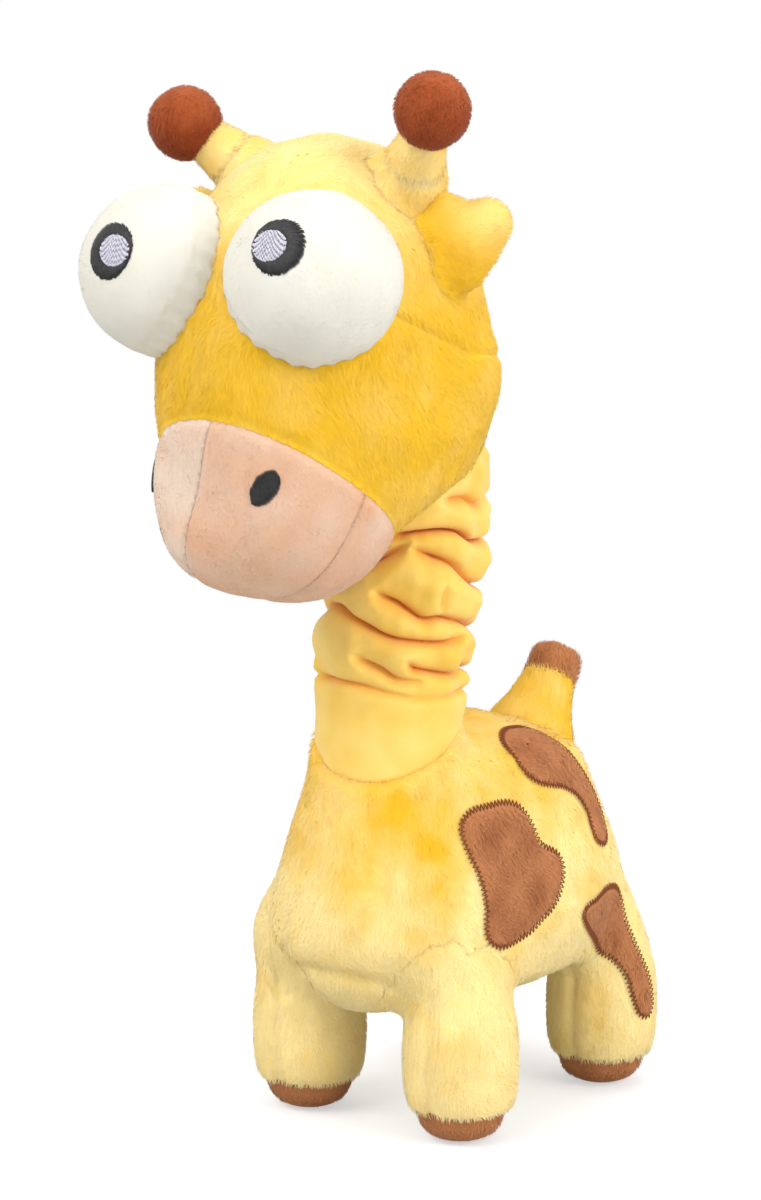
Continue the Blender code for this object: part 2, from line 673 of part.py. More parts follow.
def make_face():
    for side, sign in SIDES.items():
        form = eye_form(side)
        eye = form_piece(f"eye_{side}", form, EYE_CUTS)
        boolean(eye, [form_piece("head", HEAD, HEAD_CUTS, GAP)])
        toward = bearing(sign * PUPIL_HEADING, PUPIL_LATITUDE)
        place = frame_at(form_point(form, toward), form_normal(form, toward))
        shift = (-sign * HIGHLIGHT_SHIFT, -HIGHLIGHT_SHIFT / 2)
        skins = [form_piece("eye", form, EYE_CUTS, grow) for grow in (GAP, GAP + PATCH_THICKNESS)]
        pupil = patch(f"pupil_{side}", *skins, oval(PUPIL_WIDTH, PUPIL_HEIGHT), PUPIL_WIDTH, place)
        window = oval(HIGHLIGHT_WIDTH + 2 * GAP, HIGHLIGHT_HEIGHT + 2 * GAP, shift=shift)
        boolean(pupil, [outline_prism("window", window, PUPIL_WIDTH, PUPIL_WIDTH, place)])
        skins = [form_piece("eye", form, EYE_CUTS, grow) for grow in (GAP, GAP + PATCH_THICKNESS)]
        light = oval(HIGHLIGHT_WIDTH, HIGHLIGHT_HEIGHT, shift=shift)
        patch(f"pupil_highlight_{side}", *skins, light, PUPIL_WIDTH, place)
        toward = bearing(sign * NOSTRIL_HEADING - NOSE_TURN, NOSTRIL_LATITUDE)
        place = frame_at(form_point(HEAD, toward), form_normal(HEAD, toward), -sign * NOSTRIL_ROLL)
        skins = [form_piece("head", HEAD, HEAD_CUTS, grow) for grow in (GAP, GAP + PATCH_THICKNESS)]
        patch(f"nostril_{side}", *skins, oval(NOSTRIL_WIDTH, NOSTRIL_HEIGHT), NOSTRIL_WIDTH, place)


def stub_profile(root_radius, end_radius, length, end_rounding=0.0):
    """A stem with a round root about its origin that tapers to a flat or slightly domed end."""
    bulge = [(root_radius * cos(a), root_radius * sin(a)) for a in (0, -pi / 6, -pi / 3)]
    top = [(0, length + end_rounding), (end_radius * 0.7, length + end_rounding * 0.7), (end_radius, length)]
    if not end_rounding:
        top = [(0, length), (end_radius, length)]
    middle = [(root_radius * 0.5 + end_radius * 0.5, length / 2)]
    return top + middle + bulge + [(0, -root_radius)]


def make_horns():
    for side, sign in SIDES.items():
        outward, forward, up = HORN_REACHES[side]
        reach = Vector((sign * outward, -forward, up))
        place = frame_at(horn_pivot(side), reach)
        length = reach.length
        stem = stub_profile(HORN_STEM_RADIUS, HORN_NECK_RADIUS, length)
        stem_piece = turned_piece(f"horn_stem_{side}", stem, HORN_RANGE_STEPS, place)
        centre = place @ Vector((0, 0, length))
        boolean(stem_piece, [ball("ball", centre, HORN_BALL_RADIUS + GAP)])
        ball(f"horn_ball_{side}", centre, HORN_BALL_RADIUS)


def swung_head(pivot, hinge, angle):
    """The head as an ear meets it once the ear has turned by an angle."""
    head = form_piece("head", HEAD, HEAD_CUTS, FLOP_CLEARANCE)
    turn = Matrix.Rotation(radians(-angle), 4, hinge)
    head.data.transform(Matrix.Translation(pivot) @ turn @ Matrix.Translation(-pivot))
    return head


def make_ears():
    """Each ear's leaf narrows to the line it is sewn along, so that it clears the head as it swings."""
    for side, sign in SIDES.items():
        rise = radians(EAR_RISE)
        axis = Vector((sign * cos(rise), 0, sin(rise)))
        pivot = ear_pivot(side)
        root = ball(f"ear_{side}", pivot, EAR_ROOT_RADIUS)
        half_sizes = (EAR_HEIGHT / 2, EAR_THICKNESS / 2, EAR_LENGTH / 2)
        leaf_form = Form(Vector((0, 0, 0)), half_sizes, EAR_RING_SHARES, EAR_SQUARE_SHARE)
        leaf = form_piece("leaf", leaf_form, EAR_CUTS)
        for vert in leaf.data.vertices:
            across, along = 2 * vert.co.x / EAR_HEIGHT, 2 * vert.co.z / EAR_LENGTH
            if vert.co.y < 0:
                vert.co.y += EAR_CUP_DEPTH * max(0, 1 - across**2 - along**2)
        back = Vector((0, 1, 0))
        out = Matrix((back.cross(axis), back, axis)).transposed().to_4x4()
        leaf.data.transform(Matrix.Translation(pivot + axis * EAR_LENGTH * (0.5 - EAR_SINK_SHARE)) @ out)
        face_outward(leaf.data)
        hinge = back.cross(axis)
        leaf = boolean(leaf, [swung_head(pivot, hinge, angle) for angle in (-EAR_SWING, 0, EAR_SWING)])
        joined(f"ear_{side}", [root, leaf])


def tail_parts(name):
    axis = Vector((0, sin(radians(TAIL_LEAN)), cos(radians(TAIL_LEAN))))
    place = frame_at(TAIL_PIVOT, axis)
    profile = stub_profile(TAIL_ROOT_RADIUS, TAIL_TIP_RADIUS, TAIL_LENGTH, TAIL_TIP_RADIUS / 3)
    return turned_piece(name, profile, TAIL_STEPS, place), place


def make_tail():
    reach = TAIL_LENGTH * 2
    for name, low, high in (("tail", -GAP / 2, reach), ("tail_tip", -reach, GAP / 2)):
        stub, place = tail_parts(name)
        seam = place @ Matrix.Translation((0, 0, TAIL_LENGTH * TAIL_SEAM_SHARE))
        boolean(stub, [block("seam", (-reach, -reach, low), (reach, reach, high), seam)])
    for name in ("torso_cover", "torso_stuffing"):
        boolean(bpy.data.objects[name], [ball("socket", TAIL_PIVOT, TAIL_ROOT_RADIUS + FLOP_CLEARANCE)])


make_torso()
make_legs()
make_spots()
make_sleeve()
make_elastic()
make_head()
make_muzzle()
make_face()
make_horns()
make_ears()
make_tail()

# Which pieces move together, and about which points
PIVOTS = {
    "giraffe": (None, Vector((0, 0, 0))),
    "neck_stretch": ("giraffe", NECK_PIVOT),
    "head_turn": ("neck_stretch", NECK_PIVOT),
    "head_nod": ("head_turn", NECK_PIVOT),
    "horn_left_flop": ("head_nod", horn_pivot("left")),
    "horn_right_flop": ("head_nod", horn_pivot("right")),
    "ear_left_flop": ("head_nod", ear_pivot("left")),
    "ear_right_flop": ("head_nod", ear_pivot("right")),
    "tail_flop": ("giraffe", TAIL_PIVOT),
}
CARRIED = {
    "neck_stretch": ("elastic_washer_upper",),
    "head_turn": ("elastic_knot_upper",),
    "head_nod": ("head", "muzzle", "eye", "pupil", "nostril"),
    "horn_left_flop": ("horn_stem_left", "horn_ball_left"),
    "horn_right_flop": ("horn_stem_right", "horn_ball_right"),
    "ear_left_flop": ("ear_left",),
    "ear_right_flop": ("ear_right",),
    "tail_flop": ("tail",),
}
PIECE_FINISHES = (
    ("neck_sleeve", "neck_cloth"),
    ("neck_elastic", "elastic"),
    ("elastic_knot", "elastic"),
    ("elastic_washer", "washer"),
    ("torso_stuffing", "stuffing"),
    ("head_stuffing", "stuffing"),
    ("spot", "spot_plush"),
    ("foot", "brown_plush"),
    ("horn_ball", "brown_plush"),
    ("tail_tip", "spot_plush"),
    ("muzzle", "peach_cloth"),
    ("eye", "eye_cloth"),
    ("pupil_highlight", "pale_thread"),
    ("pupil", "black_thread"),
    ("nostril", "black_thread"),
    ("", "yellow_plush"),
)


def hang_pieces():
    """Gives each piece its finish and its pivot, with the box's base centre at the origin."""
    pieces = list(COLLECTION.objects)
    corners = [vert.co for piece in pieces for vert in piece.data.vertices]
    middle = [(min(c[i] for c in corners) + max(c[i] for c in corners)) / 2 for i in (0, 1)]
    shift = -Vector((*middle, min(c.z for c in corners)))
    empties = {}
    for name, (parent, pivot) in PIVOTS.items():
        empty = add_object(name, None)
        empty.parent = empties.get(parent)
        empty.location = pivot - PIVOTS[parent][1] if parent else shift
        empties[name] = empty
        print(f"{name} pivot", [round(c, 5) for c in pivot + shift])
    for piece in pieces:
        carrier = next((body for body, names in CARRIED.items() if piece.name.startswith(names)), "giraffe")
        finish = next(finish for start, finish in PIECE_FINISHES if piece.name.startswith(start))
        piece.data.materials.clear()
        piece.data.materials.append(MATERIALS[finish])
        piece.data.shade_smooth()
        piece.data.set_sharp_from_angle(angle=radians(50))
        piece.data.transform(Matrix.Translation(-PIVOTS[carrier][1]))
        piece.parent = empties[carrier]


hang_pieces()
print("neck axis", [round(c, 5) for c in NECK_AXIS])
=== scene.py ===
import json
from math import cos, pi, radians, sin, tau

import bmesh
import bpy
import numpy as np
from mathutils import Matrix, Vector
from mathutils.bvhtree import BVHTree
from mathutils.kdtree import KDTree


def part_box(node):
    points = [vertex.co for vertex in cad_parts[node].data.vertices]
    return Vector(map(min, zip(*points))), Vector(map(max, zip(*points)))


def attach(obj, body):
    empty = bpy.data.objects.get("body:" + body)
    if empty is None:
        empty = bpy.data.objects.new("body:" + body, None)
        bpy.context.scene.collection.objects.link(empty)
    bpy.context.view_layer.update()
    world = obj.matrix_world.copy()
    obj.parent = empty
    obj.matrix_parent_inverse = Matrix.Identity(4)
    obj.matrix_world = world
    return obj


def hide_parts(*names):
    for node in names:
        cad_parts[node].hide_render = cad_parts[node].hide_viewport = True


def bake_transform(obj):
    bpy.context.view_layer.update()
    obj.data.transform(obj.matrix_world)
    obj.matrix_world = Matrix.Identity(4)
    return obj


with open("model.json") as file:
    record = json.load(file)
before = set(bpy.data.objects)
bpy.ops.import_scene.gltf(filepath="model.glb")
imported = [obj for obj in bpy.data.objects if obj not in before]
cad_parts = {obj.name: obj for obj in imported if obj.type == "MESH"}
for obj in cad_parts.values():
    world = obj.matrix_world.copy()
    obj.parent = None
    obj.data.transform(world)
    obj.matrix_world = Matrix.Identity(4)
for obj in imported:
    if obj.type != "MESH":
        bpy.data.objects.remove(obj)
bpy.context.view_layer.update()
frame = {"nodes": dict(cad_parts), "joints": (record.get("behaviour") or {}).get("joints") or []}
nodes = frame["nodes"]
pivots = {joint["name"]: Vector(joint["pos_m"]) for joint in frame["joints"] if "pos_m" in joint}
# Node trees

def feed(node, inputs):  # an input gets a value, or the output of another node
    for name, value in inputs.items():
        if isinstance(value, bpy.types.NodeSocket):
            node.id_data.links.new(value, node.inputs[name])
        else:
            node.inputs[name].default_value = value
    return node


def addNode(tree, kind, inputs=None, **settings):
    node = tree.nodes.new("ShaderNode" + kind)
    for key, value in settings.items():
        setattr(node, key, value)
    return feed(node, inputs or {})


def addRamp(tree, factor, stops):
    ramp = addNode(tree, "ValToRGB", {"Fac": factor})
    for stop, (place, colour) in zip(ramp.color_ramp.elements, stops):
        stop.position, stop.color = place, (*colour, 1)
    return ramp.outputs["Color"]


def startMaterial(name, inputs):
    material = bpy.data.materials.new(name)
    material.use_nodes = True
    tree = material.node_tree
    return material, tree, feed(tree.nodes["Principled BSDF"], inputs)


def startGroup(name, inputs, outputs):
    group = bpy.data.node_groups.new(name, "ShaderNodeTree")
    for way, sockets in (("INPUT", inputs), ("OUTPUT", outputs)):
        for socket, kind in sockets.items():
            group.interface.new_socket(name=socket, in_out=way, socket_type="NodeSocket" + kind)
    return group, group.nodes.new("NodeGroupInput"), group.nodes.new("NodeGroupOutput")


# Camera, floor and light
view = {"azimuth": 37, "pitch": 9, "distance": 1.2, "lens": 108, "target": (-0.0359, 0.0411, 0.1615)}


def towards(azimuth, pitch):
    a, e = radians(azimuth), radians(pitch)
    return Vector((sin(a) * cos(e), -cos(a) * cos(e), sin(e)))


def setCamera():
    back = towards(view["azimuth"], view["pitch"])
    bpy.ops.object.camera_add(location=Vector(view["target"]) + back * view["distance"])
    camera = bpy.context.object
    camera.rotation_euler = (-back).to_track_quat("-Z", "Y").to_euler()
    camera.data.lens, camera.data.sensor_width = view["lens"], 36
    camera.data.clip_start, camera.data.clip_end = 0.05, 20
    bpy.context.scene.camera = camera


lights = {
    "keyLight": {"from": (-18, 42), "distance": 2.2, "size": 1.4, "power": 28},
    "sideLight": {"from": (88, 24), "distance": 2.0, "size": 1.3, "power": 23},
    "topLight": {"from": (150, 66), "distance": 2.0, "size": 1.6, "power": 9},
}
studio = {
    "aimHeight": 0.15, "worldGrey": 0.59, "floorSize": 30, "floorGlow": 0.52, "floorGrey": 0.58,
    "shadowRing": (0.22, 0.50),
}


def setLights():
    for name, light in lights.items():
        aim = towards(*light["from"])
        place = aim * light["distance"] + Vector((0, 0, studio["aimHeight"]))
        bpy.ops.object.light_add(type="AREA", radius=light["size"], location=place)
        lamp = bpy.context.object
        lamp.name = name
        lamp.data.size, lamp.data.energy = light["size"], light["power"]
        lamp.rotation_euler = (-aim).to_track_quat("-Z", "Y").to_euler()


def setWorld():  # white where it is seen, grey as a light
    world = bpy.context.scene.world or bpy.data.worlds.new("studio")
    bpy.context.scene.world = world
    world.use_nodes = True
    tree = world.node_tree
    path = addNode(tree, "LightPath").outputs
    mirrored = addNode(
        tree, "Math", {0: path["Is Glossy Ray"], 1: path["Is Transmission Ray"]}, operation="MAXIMUM")
    seen = addNode(tree, "Math", {0: path["Is Camera Ray"], 1: mirrored.outputs[0]}, operation="MAXIMUM")
    level = addNode(tree, "MapRange", {"Value": seen.outputs[0], "To Min": studio["worldGrey"]})
    feed(tree.nodes["Background"], {"Color": (1, 1, 1, 1), "Strength": level.outputs[0]})


def setFloor():  # it shows the object's shadow, and turns white to the camera further out
    bpy.ops.mesh.primitive_plane_add(size=studio["floorSize"])
    floor = bpy.context.object
    floor.name = "floor"
    grey = studio["floorGrey"]
    material, tree, shader = startMaterial(
        "studioFloor", {"Base Color": (grey, grey, grey, 1), "Roughness": 0.9, "Emission Color": (1, 1, 1, 1)})
    path = addNode(tree, "LightPath").outputs
    level = addNode(tree, "MapRange", {"Value": path["Is Camera Ray"], "To Max": studio["floorGlow"]})
    feed(shader, {"Emission Strength": level.outputs[0]})
    place = addNode(tree, "TexCoord")
    away = addNode(tree, "VectorMath", {0: place.outputs["Object"]}, operation="LENGTH")
    near, far = studio["shadowRing"]
    ring = addNode(tree, "MapRange", {"Value": away.outputs["Value"], "From Min": near, "From Max": far},
                   interpolation_type="SMOOTHSTEP")
    both = addNode(tree, "Math", {0: ring.outputs[0], 1: path["Is Camera Ray"]}, operation="MULTIPLY")
    white = addNode(tree, "Emission")
    mix = addNode(tree, "MixShader", {"Fac": both.outputs[0], 1: shader.outputs[0], 2: white.outputs[0]})
    feed(tree.nodes["Material Output"], {"Surface": mix.outputs[0]})
    floor.data.materials.append(material)


setCamera()
setLights()
setWorld()
setFloor()
bpy.context.scene.view_settings.view_transform = "Standard"
print("camera and studio set")


# Small tools for meshes

def pickOnly(*pieces):
    bpy.ops.object.select_all(action="DESELECT")
    for piece in pieces:
        piece.select_set(True)
    bpy.context.view_layer.objects.active = pieces[0]


def inEditMode(piece, operator, **settings):
    pickOnly(piece)
    bpy.ops.object.mode_set(mode="EDIT")
    bpy.ops.mesh.select_all(action="SELECT")
    operator(**settings)
    bpy.ops.object.mode_set(mode="OBJECT")


def applyModifier(piece, kind, **settings):
    pickOnly(piece)
    modifier = piece.modifiers.new(kind.title(), kind)
    for key, value in settings.items():
        setattr(modifier, key, value)
    bpy.ops.object.modifier_apply(modifier=modifier.name)


def smoothed(piece, rounds):
    applyModifier(piece, "SMOOTH", factor=0.5, iterations=rounds)


def editBmesh(piece, change):
    bm = bmesh.new()
    bm.from_mesh(piece.data)
    change(bm)
    bm.to_mesh(piece.data)
    bm.free()


def newPiece(name, mesh):
    piece = bpy.data.objects.new(name, mesh)
    bpy.context.scene.collection.objects.link(piece)
    return piece


def pieceOf(name, co, edges, faces):
    mesh = bpy.data.meshes.new(name)
    mesh.from_pydata(co, edges, faces)
    return newPiece(name, mesh)


def copyOf(piece, name):
    return newPiece(name, piece.data.copy())


def joinPieces(name, pieces):
    pickOnly(*pieces)
    if len(pieces) > 1:
        bpy.ops.object.join()
    piece = bpy.context.object
    piece.name = piece.data.name = name
    return piece


def copiedNodes(name, *nodeNames):
    piece = joinPieces(name, [copyOf(nodes[nodeName], nodeName + "_copy") for nodeName in nodeNames])
    piece.data.materials.clear()
    inEditMode(piece, bpy.ops.mesh.remove_doubles, threshold=0.00002)
    return piece


def addBall(centre, radius, scale=(1, 1, 1)):
    bpy.ops.mesh.primitive_uv_sphere_add(segments=32, ring_count=20, radius=radius, location=centre, scale=scale)
    pickOnly(bpy.context.object)
    bpy.ops.object.transform_apply(location=True, rotation=True, scale=True)
    return bpy.context.object


def keepLargest(bm):  # drops loose bits that a remesh leaves
    left, islands = set(bm.verts), []
    while left:
        edge = [left.pop()]
        island = set(edge)
        while edge:
            reached = {e.other_vert(v) for v in edge for e in v.link_edges} - island
            island |= reached
            edge = list(reached)
        left -= island
        islands.append(island)
    islands.sort(key=len)
    bmesh.ops.delete(bm, geom=[v for island in islands[:-1] for v in island], context="VERTS")


def remeshed(piece, voxel, rounds, inset=0.0):
    applyModifier(piece, "REMESH", mode="VOXEL", voxel_size=voxel)
    editBmesh(piece, keepLargest)
    smoothed(piece, rounds)
    if inset:
        applyModifier(piece, "DISPLACE", strength=-inset, mid_level=0)
        smoothed(piece, 2)
    return piece


def numbersOf(items, key, width=1, kind=np.float64):
    found = np.empty(len(items) * width, np.float32 if kind is np.float64 else kind)
    items.foreach_get(key, found)
    return found.reshape(-1, width).astype(kind) if width > 1 else found.astype(kind)


def moveTo(piece, co):
    piece.data.vertices.foreach_set("co", co.astype(np.float32).ravel())
    piece.data.update()


def edgesOf(piece):
    return numbersOf(piece.data.edges, "vertices", 2, np.int32)


def surfaceOf(piece):
    mesh = piece.data
    mesh.calc_loop_triangles()
    return {
        "co": numbersOf(mesh.vertices, "co", 3),
        "normal": numbersOf(mesh.vertex_normals, "vector", 3),
        "tris": numbersOf(mesh.loop_triangles, "vertices", 3, np.int32),
    }


def unit(vectors):
    return vectors / np.maximum(np.linalg.norm(vectors, axis=-1, keepdims=True), 1e-12)


def treeOf(piece):
    found = surfaceOf(piece)
    return BVHTree.FromPolygons(found["co"].tolist(), found["tris"].tolist())


def hits(tree, start, way, reach):
    return tree.ray_cast(Vector(start), Vector(way), reach)[0] is not None


def distances(tree, points, reach=1.0):
    found = np.full(len(points), reach)
    for i, point in enumerate(points):
        hit = tree.find_nearest(Vector(point), reach)
        if hit[3] is not None:
            found[i] = hit[3]
    return found


def placesTree(places):
    tree = KDTree(len(places))
    for i, place in enumerate(places):
        tree.insert(place, i)
    tree.balance()
    return tree


def nearestPlace(tree, points):
    return np.array([tree.find(point)[1] for point in points])


def nearestGap(tree, points):
    return np.array([tree.find(point)[2] for point in points])


def ripples(points, size, seed, waves=14):
    rng = np.random.default_rng(seed)
    ways = unit(rng.normal(size=(waves, 3))) * (tau / size) * rng.uniform(0.6, 1.5, (waves, 1))
    return np.sin(points @ ways.T + rng.uniform(0, tau, waves)).sum(1) / np.sqrt(waves / 2)
def hump(points, centre, size):
    return np.exp(-(((points - centre) / size) ** 2).sum(1))


# Pile: short flat fibres that stand on a skin, in one mesh with it

fibre = {  # what is the same for every pile; heights are places in the pile's colours, from skin to tip
    "lengths": (0.75, 1.15), "widths": (0.7, 1.25), "lowScatter": 0.06, "highScatter": 0.08, "twist": 0.28,
    "sunk": 0.0003, "middleWidth": 0.8, "middlePull": 0.4, "shadeAcross": 0.12, "shadeScatter": 0.035,
    "shortest": 0.25, "tops": (0.82, 1.0), "skinHeight": 0.15, "rootHeight": 0.22, "middleHeight": 0.55,
    "tipHeight": 0.98, "toneStep": 0.003, "shown": 0.3,
}


def areasOf(co, tris):
    corners = co[tris]
    return np.linalg.norm(np.cross(corners[:, 1] - corners[:, 0], corners[:, 2] - corners[:, 0]), axis=1) / 2


def strewn(surface, count, rng, share):
    ends = np.cumsum(areasOf(surface["co"], surface["tris"]) * share[surface["tris"]].mean(1))
    places = (np.arange(count) + rng.random(count)) / count * ends[-1]
    tri = np.minimum(np.searchsorted(ends, places), len(ends) - 1)
    a, b = np.sqrt(rng.random(count)), rng.random(count)
    weights = np.stack([1 - a, a * (1 - b), a * b], 1)
    return surface["tris"][tri], weights


def spread(values, tri, weights):
    if values.ndim == 1:
        return (values[tri] * weights).sum(1)
    return (values[tri] * weights[:, :, None]).sum(1)


def turned(first, second, angle):
    return first * np.cos(angle)[:, None] + second * np.sin(angle)[:, None]


def laidFlat(ways, normal):
    return ways - normal * (ways * normal).sum(1)[:, None]


def combed(points, normal, pile):
    way = unit(laidFlat(np.broadcast_to(pile["comb"], points.shape), normal) + 1e-6)
    turn = pile["wander"] * ripples(points, pile["tuft"] * 5, 3)
    return unit(turned(way, np.cross(normal, way), turn))


def growPile(surface, pile, share, tint, seed):
    rng = np.random.default_rng(seed)
    count = pile["count"]
    tri, weights = strewn(surface, count, rng, share)
    root = spread(surface["co"], tri, weights)
    normal = unit(spread(surface["normal"], tri, weights))
    tall = np.clip(spread(share, tri, weights), fibre["shortest"], 1)
    way = combed(root, normal, pile)
    way = turned(way, np.cross(normal, way), rng.normal(0, pile["scatter"], count))
    length = pile["length"] * tall * rng.uniform(*fibre["lengths"], count)
    lift = ripples(root, pile["tuft"] * 3, 5) * pile["lift"]
    low = radians(pile["lean"][0]) - lift + rng.normal(0, fibre["lowScatter"], count)
    high = radians(pile["lean"][1]) - lift + rng.normal(0, fibre["highScatter"], count)
    middle = root + turned(normal, way, low) * (length * 0.5)[:, None]
    tip = middle + turned(normal, way, high) * (length * 0.5)[:, None]
    lean = tip - root
    # fibres lean to the heart of their clump, and a clump shares its shade
    hearts = spread(surface["co"], *strewn(surface, max(8, int(count * pile["clumps"])), rng, share))
    near = nearestPlace(placesTree(hearts), root)
    pull = laidFlat(hearts[near] - root, normal) * pile["gather"]
    tip += pull
    middle += pull * fibre["middlePull"]
    mood = rng.normal(size=(len(hearts), 3))[near]
    side = unit(np.cross(normal, lean))
    side = unit(turned(side, np.cross(unit(lean), side), rng.normal(0, fibre["twist"], count)))
    half = side * (pile["width"] / 2 * rng.uniform(*fibre["widths"], count))[:, None]
    sunk = root - normal * fibre["sunk"]
    slim = half * fibre["middleWidth"]
    co = np.stack([sunk - half, sunk + half, middle + slim, middle - slim, tip], 1)
    across = unit(np.cross(side, lean)) * fibre["shadeAcross"]
    shade = unit(normal + mood * pile["mottle"] + across + rng.normal(0, fibre["shadeScatter"], (count, 3)))
    tone = np.clip(spread(tint, tri, weights) + rng.normal(0, pile["speckle"], count), 0.02, 0.98)
    top = np.clip(tall * rng.uniform(*fibre["tops"], count), 0.3, 1)
    low = np.full(count, fibre["rootHeight"])
    half = low + (top - low) * fibre["middleHeight"]
    u = tone[:, None] + np.array([-1, 1, 1, -1, 0]) * fibre["toneStep"]
    v = np.stack([low, low, half, half, top * fibre["tipHeight"]], 1)
    first = np.arange(count)[:, None] * 5
    return {
        "co": co.reshape(-1, 3),
        "normal": np.repeat(shade, 5, 0),
        "uv": np.stack([u, v], 2).reshape(-1, 2),
        "quads": first + np.array([0, 3, 2, 1]),
        "tris": first + np.array([4, 2, 3]),
    }


def furredMesh(name, skin, piles, tone):
    mesh = skin.data
    co = [numbersOf(mesh.vertices, "co", 3)]
    normal = [numbersOf(mesh.vertex_normals, "vector", 3)]
    uv = [np.stack([tone, np.full(len(tone), fibre["skinHeight"])], 1)]
    loops = [numbersOf(mesh.loops, "vertex_index", 1, np.int32)]
    sizes = [numbersOf(mesh.polygons, "loop_total", 1, np.int32)]
    for pile in piles:
        offset = sum(len(c) for c in co)
        co.append(pile["co"])
        normal.append(pile["normal"])
        uv.append(pile["uv"])
        for kind, width in (("quads", 4), ("tris", 3)):
            loops.append((pile[kind] + offset).ravel().astype(np.int32))
            sizes.append(np.full(len(pile[kind]), width, np.int32))
    co, normal, uv = np.concatenate(co), np.concatenate(normal), np.concatenate(uv)
    loops, sizes = np.concatenate(loops), np.concatenate(sizes)
    made = bpy.data.meshes.new(name)
    made.vertices.add(len(co))
    made.vertices.foreach_set("co", co.astype(np.float32).ravel())
    made.loops.add(len(loops))
    made.loops.foreach_set("vertex_index", loops)
    made.polygons.add(len(sizes))
    made.polygons.foreach_set("loop_start", np.concatenate([[0], np.cumsum(sizes)[:-1]]).astype(np.int32))
    made.update(calc_edges=True)
    made.polygons.foreach_set("use_smooth", np.ones(len(sizes), bool))
    layer = made.uv_layers.new(name="OFBake", do_init=False)
    layer.uv.foreach_set("vector", uv[loops].astype(np.float32).ravel())
    made.normals_split_custom_set_from_vertices(normal.astype(np.float32))
    bpy.data.objects.remove(skin)
    return newPiece(name, made)


def dressPiece(piece, material, replaced, body=None, bends=None):
    piece.data.materials.clear()
    piece.data.materials.append(material)
    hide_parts(*replaced)
    if bends:
        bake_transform(piece)
    else:
        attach(piece, body)


# Threads: half-round strands that lie on a surface

strand = {  # four places across it, and the way that each one faces
    "profile": ((-0.5, 0), (-0.28, 0.85), (0.28, 0.85), (0.5, 0)),
    "facing": ((-1, 0.4), (-0.5, 1), (0.5, 1), (1, 0.4)),
    "endWidth": 0.35, "endTaper": 2.2,
}


def threadArrays(points, normals, width, height):
    strands, steps = points.shape[:2]
    side = unit(np.cross(unit(np.gradient(points, axis=1)), normals))
    fromEnd = np.minimum(np.linspace(0, 1, steps), np.linspace(1, 0, steps))
    taper = np.minimum(1, strand["endWidth"] + strand["endTaper"] * fromEnd)[None, :, None]
    co = np.stack(
        [points + side * width * x * taper + normals * height * z * taper for x, z in strand["profile"]], 2)
    facing = np.stack([unit(normals * z + side * x) for x, z in strand["facing"]], 2)
    first = (np.arange(strands)[:, None] * steps + np.arange(steps - 1))[..., None, None] * 4
    ring = np.array([[0, 1], [1, 2], [2, 3], [3, 0]])
    quads = (first + np.concatenate([ring, ring[:, ::-1] + 4], 1)).reshape(-1, 4)
    ends = np.arange(strands)[:, None] * steps * 4
    quads = np.concatenate([quads, ends + [3, 2, 1, 0], ends + (steps - 1) * 4 + [0, 1, 2, 3]])
    return co.reshape(-1, 3), quads, facing.reshape(-1, 3)


def threadPile(points, normals, width, height):
    co, quads, facing = threadArrays(points, normals, width, height)
    number = np.arange(len(co))
    uv = np.stack([0.5 + (number % 4 - 1.5) * 0.003, 0.02 + (number // 4 % 3) * 0.008], 1)
    return {"co": co, "normal": facing, "uv": uv, "quads": quads, "tris": np.zeros((0, 3), int)}


def threadPiece(name, points, normals, width, height):
    co, quads, _ = threadArrays(points, normals, width, height)
    piece = pieceOf(name, co.tolist(), [], quads.tolist())
    inEditMode(piece, bpy.ops.mesh.normals_make_consistent, inside=False)
    bpy.ops.object.shade_smooth()
    return piece


def patchFrame(node, formCentre):  # middle, right, up and outward way of a patch of stitches
    low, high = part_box(node)
    middle = np.array((low + high) / 2)
    facing = unit(middle - np.array(formCentre))
    side = unit(np.cross(facing, (0, 0, 1.0)))
    return middle, side, np.cross(side, facing), facing


def tilt(patch, sign, degrees):  # a turn on the patch that mirrors from one side of the face to the other
    across = 1 if patch[1][0] > 0 else -1
    roll = radians(degrees) * -sign * across
    return across, np.array([[cos(roll), -sin(roll)], [sin(roll), cos(roll)]])


def stitched(tree, patch, spans, steps):
    middle, side, up, facing = patch
    t = np.linspace(0, 1, steps)
    flat = spans[:, None, :2] * (1 - t)[None, :, None] + spans[:, None, 2:] * t[None, :, None]
    points = middle + flat[..., :1] * side + flat[..., 1:] * up
    normals = np.zeros_like(points)
    for i, row in enumerate(points):
        for j, point in enumerate(row):
            hit, normal, _, _ = tree.ray_cast(Vector(point + facing * 0.02), Vector(-facing), 0.05)
            if hit is None:
                normals[i, j] = facing
            else:
                points[i, j], normals[i, j] = hit, normal
    return points, normals


# Materials

def makePileGroup():  # the colour of a fibre by its height, between a warm and a pale tone; the darker roots are painted shade and the paler tips painted light
    colours = ("Thread", "Shaded Roots", "Warm Low", "Warm Tip", "Pale Low", "Pale Tip")
    inputs = {"Tone": "Float", "Height": "Float", **{name: "Color" for name in colours}}
    group, given, made = startGroup("pileColour", inputs, {"Color": "Color"})
    given, tones = given.outputs, []
    for tone in ("Warm", "Pale"):
        colour = given["Thread"]
        for low, high, name in ((0.06, 0.10, tone + " Low"), (0.19, 0.24, "Shaded Roots"), (0.24, 0.45, tone + " Low"),
                                (0.45, 0.95, tone + " Tip")):
            share = addNode(group, "MapRange", {"Value": given["Height"], "From Min": low, "From Max": high})
            inputs = {"Factor": share.outputs[0], "A": colour, "B": given[name]}
            mix = addNode(group, "Mix", inputs, data_type="RGBA")
            colour = mix.outputs["Result"]
        tones.append(colour)
    mix = addNode(group, "Mix", {"Factor": given["Tone"], "A": tones[0], "B": tones[1]}, data_type="RGBA")
    feed(made, {"Color": mix.outputs["Result"]})
    return group


